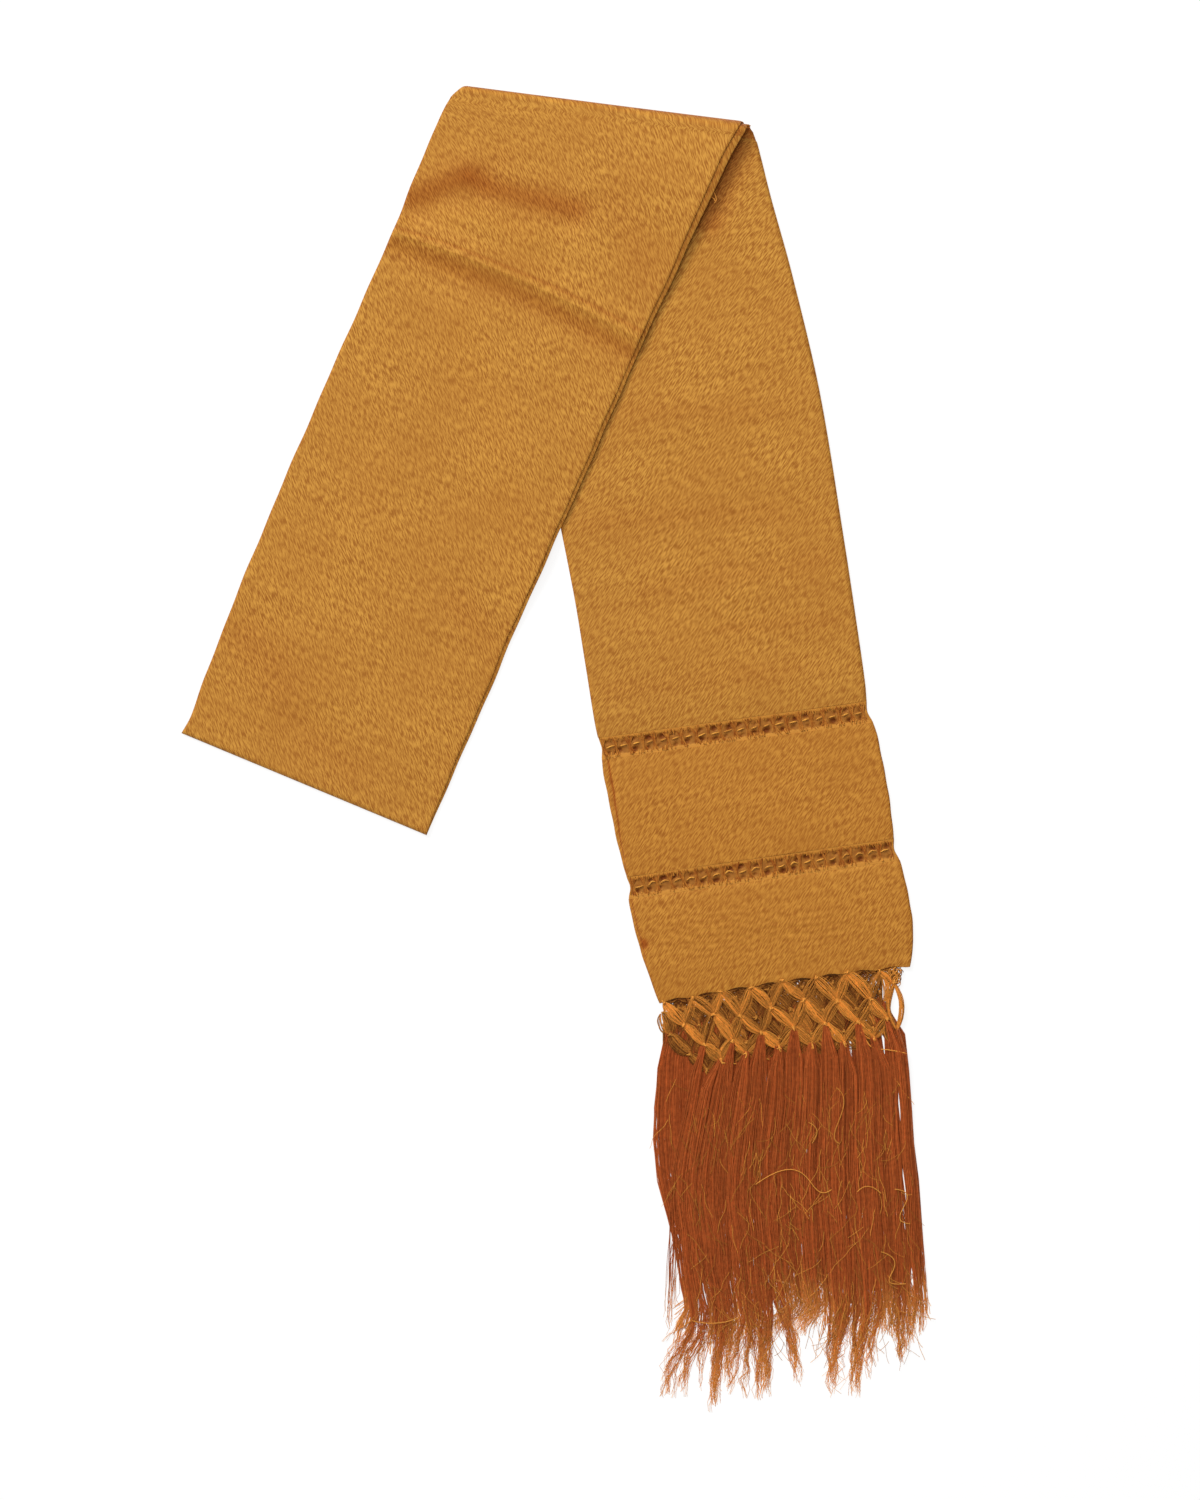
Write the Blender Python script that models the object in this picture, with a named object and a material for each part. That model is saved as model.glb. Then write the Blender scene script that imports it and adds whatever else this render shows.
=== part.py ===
"""A silk rebozo folded end to end, then into quarters lengthwise, and laid as an upside-down V.

Metres, +Z up. It lies on the XY plane, and its fringe points towards -Y. The tables are in
millimetres and degrees. The upper arm heads down to the left, and the lower arm, which ends in
openwork, net and fringe, heads down to the right from under it.
"""
import math
import random
from typing import Callable, NamedTuple

import bmesh
import bpy

MM = 0.001
GAP = 0.3                     # between neighbouring pieces

# The fold line, where the band turns over itself
FOLD_MIDDLE = (33.5, 462.2)   # its middle, from the centre of the footprint
FOLD_SLOPE = -7.4             # it falls towards +X
HALF_FOLD = 103.1
SEAM_DISTANCE = 12.0          # from the fold line to where the arms begin
UPPER_HEADING = -23.4         # degrees from straight down, towards +X
LOWER_HEADING = 11.8

# Heights
BAND_THICKNESS = 4.6          # eight layers of silk, lying loosely on each other
FOLD_GAP = 0.8                # between the arms at the closed end of the turn
MOUTH_RISE = 5.4              # how much further apart they stand at its open end
MOUTH_FADE = 95.0             # the rise dies away over this length of the upper arm
RAMP_HEAD = 9.0               # the upper arm leaves the lower one this far outside its edge
RAMP_FOOT = 58.0              # and reaches the surface here

# Openwork, net and fringe, along the lower arm
ROW_LENGTH = 16.0
ROW_1_START = 453.0
ROW_2_START = 554.5
CLOTH_END = 644.0
NET_START = CLOTH_END + 1.9   # the middle of the net's first row of knots
KNOT_REACH = 2.7              # from a knot's middle to where its bundles begin
NET_ROWS = 4
NET_ROW_STEP = 15.3
NET_PITCH = 22.5
NET_COLUMNS = 8
NET_DRIFT = 1.2               # each row of knots lies this far to the left of the one above
NET_SLOPE = 8.3
STRANDS = 62


class Section(NamedTuple):
    """A straight line across an arm."""

    along: float    # from the middle of the fold line, down the arm's axis
    slope: float    # how steeply the line rises towards +X, in degrees
    left: float     # reach from the axis to the folded edge
    right: float    # reach from the axis to the open edge of the top layers
    lip: float      # how far the layers below stand out beyond that edge


UPPER_SECTIONS = (
    Section(along=12.8, slope=-7.4, left=104.3, right=101.4, lip=5.0),
    Section(along=22.0, slope=-10.2, left=103.6, right=98.4, lip=5.0),
    Section(along=40.0, slope=-14.0, left=103.0, right=97.0, lip=4.6),
    Section(along=70.0, slope=-17.0, left=102.2, right=95.6, lip=4.4),
    Section(along=110.0, slope=-20.0, left=101.3, right=95.0, lip=4.2),
    Section(along=147.0, slope=-23.0, left=100.3, right=93.8, lip=3.8),
    Section(along=230.0, slope=-23.2, left=101.0, right=93.4, lip=3.0),
    Section(along=330.0, slope=-23.2, left=101.1, right=92.8, lip=2.4),
    Section(along=380.0, slope=-23.1, left=100.5, right=91.6, lip=3.0),
    Section(along=430.0, slope=-23.0, left=99.6, right=92.6, lip=2.6),
    Section(along=490.0, slope=-22.7, left=97.0, right=92.6, lip=2.0),
    Section(along=520.0, slope=-22.6, left=95.4, right=93.6, lip=1.2),
    Section(along=534.0, slope=-22.6, left=96.6, right=94.2, lip=0.4),
)
LOWER_SECTIONS = (
    Section(along=13.0, slope=-7.4, left=102.8, right=110.0, lip=0.6),
    Section(along=22.0, slope=-3.6, left=100.2, right=108.3, lip=0.6),
    Section(along=40.0, slope=0.0, left=98.0, right=107.2, lip=0.6),
    Section(along=77.0, slope=4.0, left=95.6, right=107.1, lip=0.6),
    Section(along=143.0, slope=8.0, left=93.0, right=110.0, lip=0.6),
    Section(along=231.0, slope=9.0, left=90.5, right=111.9, lip=0.6),
    Section(along=342.0, slope=9.0, left=90.7, right=107.1, lip=0.6),
    Section(along=400.0, slope=8.5, left=93.1, right=103.8, lip=0.6),
    Section(along=440.0, slope=8.0, left=95.0, right=101.2, lip=0.6),
    Section(along=453.0, slope=7.8, left=95.0, right=99.6, lip=0.6),
    Section(along=461.0, slope=7.8, left=94.2, right=98.8, lip=0.4),
    Section(along=469.0, slope=7.8, left=95.8, right=101.0, lip=0.6),
    Section(along=484.0, slope=8.0, left=96.8, right=101.8, lip=0.8),
    Section(along=510.0, slope=8.2, left=97.1, right=101.7, lip=0.8),
    Section(along=540.0, slope=8.2, left=96.6, right=99.9, lip=0.8),
    Section(along=554.5, slope=8.2, left=95.6, right=98.6, lip=0.6),
    Section(along=562.5, slope=8.2, left=94.6, right=97.4, lip=0.4),
    Section(along=570.5, slope=8.2, left=97.2, right=99.1, lip=0.8),
    Section(along=590.0, slope=8.3, left=97.6, right=100.0, lip=1.0),
    Section(along=610.0, slope=8.3, left=96.6, right=99.8, lip=1.0),
    Section(along=630.0, slope=8.3, left=93.6, right=96.4, lip=0.8),
    Section(along=644.0, slope=8.3, left=91.0, right=91.2, lip=0.4),
)


class EdgePoint(NamedTuple):
    """A point of a cross-section's layered side."""

    inset: float    # from the outermost edge, towards the axis
    height: float   # as a share of the thickness
    lip: float      # the share of the section's lip by which it stands out


# Two nested folds, each half of the layers, from the top down
FOLDED_EDGE = (
    EdgePoint(inset=1.6, height=0.97, lip=0.0),
    EdgePoint(inset=0.3, height=0.84, lip=0.0),
    EdgePoint(inset=0.0, height=0.72, lip=0.0),
    EdgePoint(inset=0.9, height=0.56, lip=0.0),
    EdgePoint(inset=5.0, height=0.50, lip=0.0),
    EdgePoint(inset=1.5, height=0.44, lip=0.0),
    EdgePoint(inset=0.6, height=0.26, lip=0.0),
    EdgePoint(inset=1.6, height=0.04, lip=0.0),
)
# Three open lips, a thin one on top of a thicker one, which stands out furthest
OPEN_EDGE = (
    EdgePoint(inset=0.9, height=0.97, lip=0.0),
    EdgePoint(inset=0.0, height=0.86, lip=0.0),
    EdgePoint(inset=0.5, height=0.71, lip=0.0),
    EdgePoint(inset=4.6, height=0.66, lip=0.0),
    EdgePoint(inset=0.6, height=0.61, lip=1.0),
    EdgePoint(inset=0.0, height=0.48, lip=1.0),
    EdgePoint(inset=0.7, height=0.36, lip=1.0),
    EdgePoint(inset=4.8, height=0.31, lip=0.6),
    EdgePoint(inset=1.2, height=0.26, lip=0.7),
    EdgePoint(inset=1.0, height=0.14, lip=0.7),
    EdgePoint(inset=1.8, height=0.03, lip=0.7),
)


class Crease(NamedTuple):
    """A soft ridge or trough across an arm, given at both edges and in the middle."""

    left: float     # where it lies along the arm, at the folded edge
    middle: float
    right: float
    rise: float     # less than zero for a trough
    width: float    # half of its width
    start: float    # where it begins and ends, from -1 at the left to 1 at the right
    end: float


UPPER_CREASES = (
    Crease(left=141.0, middle=132.0, right=139.0, rise=1.7, width=9.0, start=-1.2, end=1.2),
    Crease(left=152.0, middle=147.0, right=151.0, rise=-1.2, width=9.0, start=-1.2, end=1.2),
    Crease(left=84.0, middle=91.0, right=104.0, rise=-1.5, width=16.0, start=-0.9, end=0.5),
    Crease(left=66.0, middle=72.0, right=80.0, rise=0.7, width=14.0, start=-0.8, end=0.6),
    Crease(left=455.0, middle=470.0, right=480.0, rise=0.6, width=20.0, start=-0.9, end=0.3),
)
LOWER_CREASES = (
    Crease(left=210.0, middle=222.0, right=232.0, rise=0.5, width=16.0, start=-0.6, end=1.2),
    Crease(left=300.0, middle=316.0, right=322.0, rise=-0.5, width=22.0, start=-0.8, end=0.9),
)


def smooth(value: float) -> float:
    """Ease from 0 to 1 as value goes from 0 to 1."""
    value = min(1.0, max(0.0, value))
    return value * value * (3.0 - 2.0 * value)


def blend(low: float, high: float, share: float) -> float:
    """Straight mix of two numbers."""
    return low + (high - low) * share


def divide(low: float, high: float, steps: int) -> list[float]:
    """Evenly spaced numbers from low to high."""
    return [blend(low, high, k / steps) for k in range(steps + 1)]


def spread(low: float, high: float, most: float) -> list[float]:
    """Evenly spaced numbers from low to high, no further apart than most."""
    return divide(low, high, max(1, math.ceil((high - low) / most)))


def read_table(rows: tuple, at: float) -> NamedTuple:
    """Read a table at any place along it, on a smooth curve through its rows.

    The first column is the place. Each other column is a cubic with its slopes taken from the
    rows on both sides.
    """
    at = min(rows[-1][0], max(rows[0][0], at))
    k = next((i for i in range(len(rows) - 2) if at <= rows[i + 1][0]), len(rows) - 2)
    low, high = rows[k], rows[k + 1]
    before, after = rows[max(k - 1, 0)], rows[min(k + 2, len(rows) - 1)]
    span = high[0] - low[0]
    t = (at - low[0]) / span
    values = [at]
    for column in range(1, len(low)):
        slope_low = (high[column] - before[column]) / (high[0] - before[0]) * span
        slope_high = (after[column] - low[column]) / (after[0] - low[0]) * span
        values.append(
            (2 * t ** 3 - 3 * t ** 2 + 1) * low[column]
            + (t ** 3 - 2 * t ** 2 + t) * slope_low
            + (3 * t ** 2 - 2 * t ** 3) * high[column]
            + (t ** 3 - t ** 2) * slope_high
        )
    return type(low)(*values)


class Arm:
    """One arm of the V, which turns a place on the band into a place on the plane."""

    def __init__(self, heading: float, sections: tuple[Section, ...]) -> None:
        self.axis = (math.sin(math.radians(heading)), -math.cos(math.radians(heading)))
        self.sections = sections

    def section(self, along: float) -> Section:
        """The line across the arm at this distance from the fold line."""
        return read_table(self.sections, along)

    def place(self, along: float, across: float) -> tuple[float, float]:
        """X and Y of a point, with across counted from the axis towards +X."""
        slope = math.radians(self.section(along).slope)
        return (
            FOLD_MIDDLE[0] + self.axis[0] * along + math.cos(slope) * across,
            FOLD_MIDDLE[1] + self.axis[1] * along + math.sin(slope) * across,
        )


UPPER = Arm(UPPER_HEADING, UPPER_SECTIONS)
LOWER = Arm(LOWER_HEADING, LOWER_SECTIONS)
HIDDEN_EDGE = [LOWER.place(a, -LOWER.section(a).left) for a in spread(13.0, 460.0, 12.0)]


def outside_lower_arm(x: float, y: float) -> float:
    """How far a point lies to the left of the lower arm's folded edge, less than 0 if inside."""
    best = None
    for (ax, ay), (bx, by) in zip(HIDDEN_EDGE, HIDDEN_EDGE[1:]):
        ex, ey = bx - ax, by - ay
        t = min(1.0, max(0.0, ((x - ax) * ex + (y - ay) * ey) / (ex * ex + ey * ey)))
        gap = math.hypot(x - ax - ex * t, y - ay - ey * t)
        side = 1.0 if ex * (y - ay) - ey * (x - ax) < 0 else -1.0
        if best is None or gap < abs(best):
            best = side * gap
    return best


def mouth_rise(share: float) -> float:
    """How far the turn opens, with share 0 at its closed end and 1 at its mouth."""
    return MOUTH_RISE * share ** 3


def crease_height(creases: tuple[Crease, ...], along: float, side: float) -> float:
    """Sum of the creases at a place on an arm, with side from -1 at the left to 1."""
    total = 0.0
    for crease in creases:
        bow = crease.middle - (crease.left + crease.right) / 2
        centre = blend(crease.left, crease.right, (side + 1) / 2) + bow * (1 - side * side)
        fade = smooth((side - crease.start) / 0.5) * smooth((crease.end - side) / 0.5)
        total += crease.rise * fade * math.exp(-(((along - centre) / crease.width) ** 2))
    return total


def upper_floor(along: float, across: float, x: float, y: float) -> float:
    """Height of the upper arm's underside over the surface that the shawl lies on."""
    section = UPPER.section(along)
    share = (across + section.left) / (section.left + section.right)
    leave = smooth((RAMP_FOOT - outside_lower_arm(x, y)) / (RAMP_FOOT - RAMP_HEAD))
    fade = math.exp(-((along - SEAM_DISTANCE) / MOUTH_FADE) ** 2)
    rise = mouth_rise(min(1.0, max(0.0, share))) * fade
    return (BAND_THICKNESS + FOLD_GAP + rise) * leave


def new_object(name: str, mesh_builder: bmesh.types.BMesh, colour: tuple, roughness: float) -> None:
    """Turn a bmesh in millimetres into a named object of its own material."""
    bmesh.ops.scale(mesh_builder, vec=(MM, MM, MM), verts=mesh_builder.verts)
    bmesh.ops.recalc_face_normals(mesh_builder, faces=mesh_builder.faces)
    mesh = bpy.data.meshes.new(name)
    mesh_builder.to_mesh(mesh)
    mesh_builder.free()
    mesh.shade_smooth()
    mesh.set_sharp_from_angle(angle=math.radians(50))
    material = bpy.data.materials.new(name)
    material.use_nodes = True
    shader = material.node_tree.nodes["Principled BSDF"]
    shader.inputs["Base Color"].default_value = (*colour, 1.0)
    shader.inputs["Roughness"].default_value = roughness
    shader.inputs["Metallic"].default_value = 0.0
    mesh.materials.append(material)
    bpy.context.scene.collection.objects.link(bpy.data.objects.new(name, mesh))


def bridge(builder: bmesh.types.BMesh, rings: list[list]) -> None:
    """Join closed rings of equally many points one after another."""
    for low, high in zip(rings, rings[1:]):
        for k in range(len(low)):
            after = (k + 1) % len(low)
            builder.faces.new((low[k], low[after], high[after], high[k]))


def layered_ring(
    arm: Arm,
    along: float,
    columns: int,
    under_columns: int,
    thickness: Callable[[float, float], float],
    floor: Callable[[float, float, float, float], float],
    groove: float,
) -> list[tuple[float, float, float]]:
    """Points around a cross-section, over the top from left to right and back underneath."""
    section = arm.section(along)
    edge_inset = 3.2
    left, right = -section.left, section.right

    def point(across: float, height: float) -> tuple[float, float, float]:
        x, y = arm.place(along, across)
        side = (across - left) / (right - left) * 2 - 1
        return x, y, floor(along, across, x, y) + height * thickness(along, side)

    def edge(table: tuple[EdgePoint, ...], outer: float, inward: float) -> list:
        reach = section.lip if inward < 0 else 0.0
        return [
            point(
                outer + inward * (min(e.inset, 1.6) + max(0.0, e.inset - 1.6) * groove)
                - inward * reach * e.lip,
                e.height,
            )
            for e in table
        ]

    top = [point(a, 1.0) for a in divide(left + edge_inset, right - edge_inset, columns)]
    open_side = edge(OPEN_EDGE, right, -1.0)
    under_right = right + section.lip * 0.7 - edge_inset
    under = [point(a, 0.0) for a in divide(left + edge_inset, under_right, under_columns)]
    folded_side = edge(FOLDED_EDGE, left, 1.0)
    return top + open_side + under[::-1] + folded_side[::-1]


def layered_solid(name: str, rings: list[list], colour: tuple, roughness: float) -> None:
    """Close a row of cross-sections into a solid."""
    builder = bmesh.new()
    made = [[builder.verts.new(p) for p in ring] for ring in rings]
    bridge(builder, made)
    builder.faces.new(made[0][::-1])
    builder.faces.new(made[-1])
    new_object(name, builder, colour, roughness)


GOLD = (0.50, 0.22, 0.045)
GOLD_LOW = (0.47, 0.20, 0.042)
BROWN = (0.30, 0.105, 0.028)
RUST = (0.25, 0.060, 0.016)


def build_upper_stretch() -> None:
    """The arm on top, from the turn to the end-to-end fold at its lower end."""
    last = UPPER_SECTIONS[-1].along
    nose = 3.0
    rows = spread(UPPER_SECTIONS[0].along, 118.0, 14.0)
    rows += spread(125.0, 163.0, 6.4)
    rows += spread(176.0, last - nose, 18.0)
    rings = []
    for along in rows:
        rings.append(
            layered_ring(
                UPPER, along, 14, 8,
                lambda a, side: BAND_THICKNESS + crease_height(UPPER_CREASES, a, side),
                upper_floor,
                1.0,
            )
        )
    for back, share in ((1.0, 0.84), (0.0, 0.50)):
        rings.append(nose_ring(UPPER, last - back, share))
    layered_solid("upper_stretch", rings, GOLD, 0.42)


def nose_ring(arm: Arm, along: float, share: float) -> list[tuple[float, float, float]]:
    """A cross-section near the rounded end fold, flattened towards the middle of its height."""
    floor_of = upper_floor

    def flat_floor(a: float, across: float, x: float, y: float) -> float:
        return floor_of(a, across, x, y) + BAND_THICKNESS * (1 - share) * 0.42

    return layered_ring(arm, along, 14, 8, lambda a, side: BAND_THICKNESS * share, flat_floor, 0.2)


def flat_on_surface(along: float, across: float, x: float, y: float) -> float:
    """The lower arm lies flat on the surface."""
    return 0.0


def lower_thickness(along: float, side: float) -> float:
    """Thickness of the lower arm, thinner towards each row of openwork."""
    pinch = sum(
        math.exp(-(((along - start - ROW_LENGTH / 2) / 13.0) ** 2))
        for start in (ROW_1_START, ROW_2_START)
    )
    end = smooth((along - (CLOTH_END - 22.0)) / 22.0)
    return BAND_THICKNESS - 0.9 * pinch - 0.7 * end + crease_height(LOWER_CREASES, along, side)


def build_plain_stretch(name: str, start: float, end: float, step: float, colour: tuple) -> None:
    """A plain piece of the lower arm between two seams."""
    rings = [
        layered_ring(LOWER, along, 10, 8, lower_thickness, flat_on_surface, 1.0)
        for along in spread(start, end, step)
    ]
    layered_solid(name, rings, colour, 0.42)


def build_openwork_row(name: str, start: float) -> None:
    """A row of openwork: two lines of small pits with a thread line standing between them."""
    pits = 17
    columns = 2 * pits
    relief = (            # share of the row's length, depth at a pit, depth between pits
        (0.0, 0.0, 0.0),
        (0.16, 0.3, 0.3),
        (0.30, 1.5, 0.7),
        (0.42, 0.3, 0.3),
        (0.50, -0.2, -0.2),
        (0.58, 0.3, 0.3),
        (0.70, 1.5, 0.7),
        (0.84, 0.3, 0.3),
        (1.0, 0.0, 0.0),
    )
    rings = []
    for share, at_pit, between in relief:
        along = blend(start + GAP / 2, start + ROW_LENGTH - GAP / 2, share)

        def thickness(a: float, side: float, at_pit: float = at_pit, between: float = between) -> float:
            wave = 0.5 - 0.5 * math.cos((side + 1) / 2 * pits * 2 * math.pi)
            inside = smooth((1 - abs(side)) / 0.05)
            return lower_thickness(a, side) - blend(between, at_pit, wave) * inside

        rings.append(layered_ring(LOWER, along, columns, 8, thickness, flat_on_surface, 0.6))
    layered_solid(name, rings, BROWN, 0.55)


def turn_edge(side: float, upper: bool, distance: float) -> float:
    """Place along the fold line of the turn's left (-1) or right (1) end."""
    if upper:
        return side * HALF_FOLD - (0.389 if side < 0 else 0.416) * distance
    if side < 0:
        return -HALF_FOLD + 0.379 * distance
    knee = 6.3
    return HALF_FOLD + 1.29 * min(distance, knee) + 0.528 * max(0.0, distance - knee)


def build_top_turn() -> None:
    """The roll along the fold line: a wall bent back over itself, open inside towards +X."""
    slope = math.radians(FOLD_SLOPE)
    along_fold = (math.cos(slope), math.sin(slope))
    down = (math.sin(slope), -math.cos(slope))
    arc = [math.radians(90 - 180 * k / 8) for k in range(9)]
    end = SEAM_DISTANCE

    def place(share: float, distance: float, height: float, upper: bool) -> tuple:
        left, right = turn_edge(-1, upper, distance), turn_edge(1, upper, distance)
        s = blend(left, right, share)
        return (
            FOLD_MIDDLE[0] + along_fold[0] * s + down[0] * distance,
            FOLD_MIDDLE[1] + along_fold[1] * s + down[1] * distance,
            height,
        )

    builder = bmesh.new()
    outers, inners = [], []
    for share in [k / 14 for k in range(15)]:
        gap = FOLD_GAP + mouth_rise(share)
        total = 2 * BAND_THICKNESS + gap
        radius = total / 2
        middle = BAND_THICKNESS + gap / 2
        bend = BAND_THICKNESS + min(gap / 2, 3.0)
        outer = [place(share, end, total, True)]
        inner = [place(share, end, total - BAND_THICKNESS, True)]
        for angle in arc:
            upper = angle > 0
            out = radius * (1 - math.cos(angle))
            deep = bend - (bend - BAND_THICKNESS) * math.cos(angle)
            outer.append(place(share, out, radius + radius * math.sin(angle), upper))
            inner.append(place(share, deep, middle + gap / 2 * math.sin(angle), upper))
        outer.append(place(share, end, 0.0, False))
        inner.append(place(share, end, BAND_THICKNESS, False))
        outers.append([builder.verts.new(p) for p in outer])
        inners.append([builder.verts.new(p) for p in inner])
    bridge(builder, [outer + inner[::-1] for outer, inner in zip(outers, inners)])
    for outer, inner in ((outers[0], inners[0]), (outers[-1], inners[-1])):
        for k in range(len(outer) - 1):
            builder.faces.new((outer[k], outer[k + 1], inner[k + 1], inner[k]))
    new_object("top_turn", builder, GOLD, 0.42)


class Knot(NamedTuple):
    """A crossing of the net."""

    along: float
    across: float


def net_point(along: float, across: float) -> tuple[float, float]:
    """X and Y of a place below the cloth's end, where the lines across keep one slope."""
    slope = math.radians(NET_SLOPE)
    return (
        FOLD_MIDDLE[0] + LOWER.axis[0] * along + math.cos(slope) * across,
        FOLD_MIDDLE[1] + LOWER.axis[1] * along + math.sin(slope) * across,
    )


def build_net(name: str, shift: float, drop: float, floor: float, colour: tuple) -> None:
    """A net of flat bundles that narrow into knots, cut right through in each mesh.

    The bundles and the knots share their points, so the net is one closed solid. The bundles
    that fall towards +X stand a little higher than those that fall towards -X.
    """
    half_knot, half_bundle, half_header = 1.1, 3.2, 1.2
    bundle, knot_height = 1.4, 1.9
    knots: dict[tuple[int, int], Knot] = {}
    for row in range(NET_ROWS):
        for column in range(NET_COLUMNS + 1 - row % 2):
            across = (column - NET_COLUMNS / 2 + (row % 2) / 2) * NET_PITCH * (1 - 0.012 * row)
            along = NET_START + row * NET_ROW_STEP + drop * row / (NET_ROWS - 1)
            knots[row, column] = Knot(along, across - NET_DRIFT * row + shift * smooth(row / 2))
    arms: dict[tuple[int, int], list[tuple[int, int]]] = {key: [] for key in knots}
    links = []
    for row, column in knots:
        if row == 0 and (0, column + 1) in knots:
            links.append(((row, column), (0, column + 1)))
        for step in ((0, -1) if row % 2 == 0 else (0, 1)):
            if (row + 1, column + step) in knots:
                links.append(((row, column), (row + 1, column + step)))
    for first, second in links:
        arms[first].append(second)
        arms[second].append(first)

    builder = bmesh.new()

    def pair(x: float, y: float, low: float, high: float) -> tuple:
        return builder.verts.new((x, y, low)), builder.verts.new((x, y, high))

    def flat(key: tuple[int, int]) -> tuple[float, float]:
        return net_point(*knots[key])

    gates = {}
    for key, others in arms.items():
        x, y = flat(key)
        headings = []
        for other in others:
            ox, oy = flat(other)
            headings.append((math.atan2(oy - y, ox - x), other))
        if key[0] == NET_ROWS - 1:
            tail = net_point(knots[key].along + 8.0, knots[key].across)
            headings.append((math.atan2(tail[1] - y, tail[0] - x), None))
        headings.sort(key=lambda item: item[0])
        ring = []
        for heading, other in headings:
            cx, cy = x + math.cos(heading) * KNOT_REACH, y + math.sin(heading) * KNOT_REACH
            nx, ny = -math.sin(heading) * half_knot, math.cos(heading) * half_knot
            right = pair(cx - nx, cy - ny, floor, floor + knot_height)
            left = pair(cx + nx, cy + ny, floor, floor + knot_height)
            gates[key, other] = (right, left)
            ring += [right, left]
        builder.faces.new([v[1] for v in ring])
        builder.faces.new([v[0] for v in ring][::-1])
        for k in range(1, len(ring), 2):
            low, high = ring[k], ring[(k + 1) % len(ring)]
            builder.faces.new((low[0], high[0], high[1], low[1]))
        if (key, None) in gates:
            right, left = gates[key, None]
            builder.faces.new((right[0], left[0], left[1], right[1]))
    for first, second in links:
        (ax, ay), (bx, by) = flat(first), flat(second)
        length = math.hypot(bx - ax, by - ay)
        nx, ny = -(by - ay) / length, (bx - ax) / length
        header = first[0] == 0 and second[0] == 0
        half = half_header if header else half_bundle
        lift = 0.0 if header else (0.6 if knots[second].across > knots[first].across else 0.0)
        cx, cy = (ax + bx) / 2, (ay + by) / 2
        middle = (
            pair(cx - nx * half, cy - ny * half, floor + lift, floor + lift + bundle),
            pair(cx + nx * half, cy + ny * half, floor + lift, floor + lift + bundle),
        )
        start = gates[first, second]
        finish = gates[second, first][::-1]
        for low, high in ((start, middle), (middle, finish)):
            (lr, ll), (hr, hl) = low, high
            builder.faces.new((lr[1], hr[1], hl[1], ll[1]))
            builder.faces.new((ll[0], hl[0], hr[0], lr[0]))
            builder.faces.new((lr[0], hr[0], hr[1], lr[1]))
            builder.faces.new((ll[1], hl[1], hl[0], ll[0]))
    new_object(name, builder, colour, 0.5)


class FringeLine(NamedTuple):
    """The fringe's width at one height on the plane."""

    down: float     # from the middle of the fold line, straight towards -Y
    left: float     # X of its edges, from the middle of the fold line
    right: float


FRINGE_OUTLINE = (
    FringeLine(down=660.0, left=43.0, right=219.0),
    FringeLine(down=702.0, left=41.0, right=223.0),
    FringeLine(down=745.0, left=39.0, right=226.0),
    FringeLine(down=788.0, left=41.5, right=231.0),
    FringeLine(down=831.0, left=52.0, right=233.0),
    FringeLine(down=874.0, left=58.0, right=233.5),
    FringeLine(down=945.0, left=61.0, right=226.0),
)


class FringeTip(NamedTuple):
    """How far the strands reach, across the fringe."""

    share: float    # 0 at its left edge and 1 at its right
    down: float     # to the tips, from the middle of the fold line


FRINGE_TIPS = (
    FringeTip(share=0.0, down=926.0),
    FringeTip(share=0.12, down=938.0),
    FringeTip(share=0.22, down=936.0),
    FringeTip(share=0.34, down=926.0),
    FringeTip(share=0.46, down=902.0),
    FringeTip(share=0.58, down=915.0),
    FringeTip(share=0.70, down=930.0),
    FringeTip(share=0.82, down=918.0),
    FringeTip(share=0.92, down=903.0),
    FringeTip(share=1.0, down=884.0),
)


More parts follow.
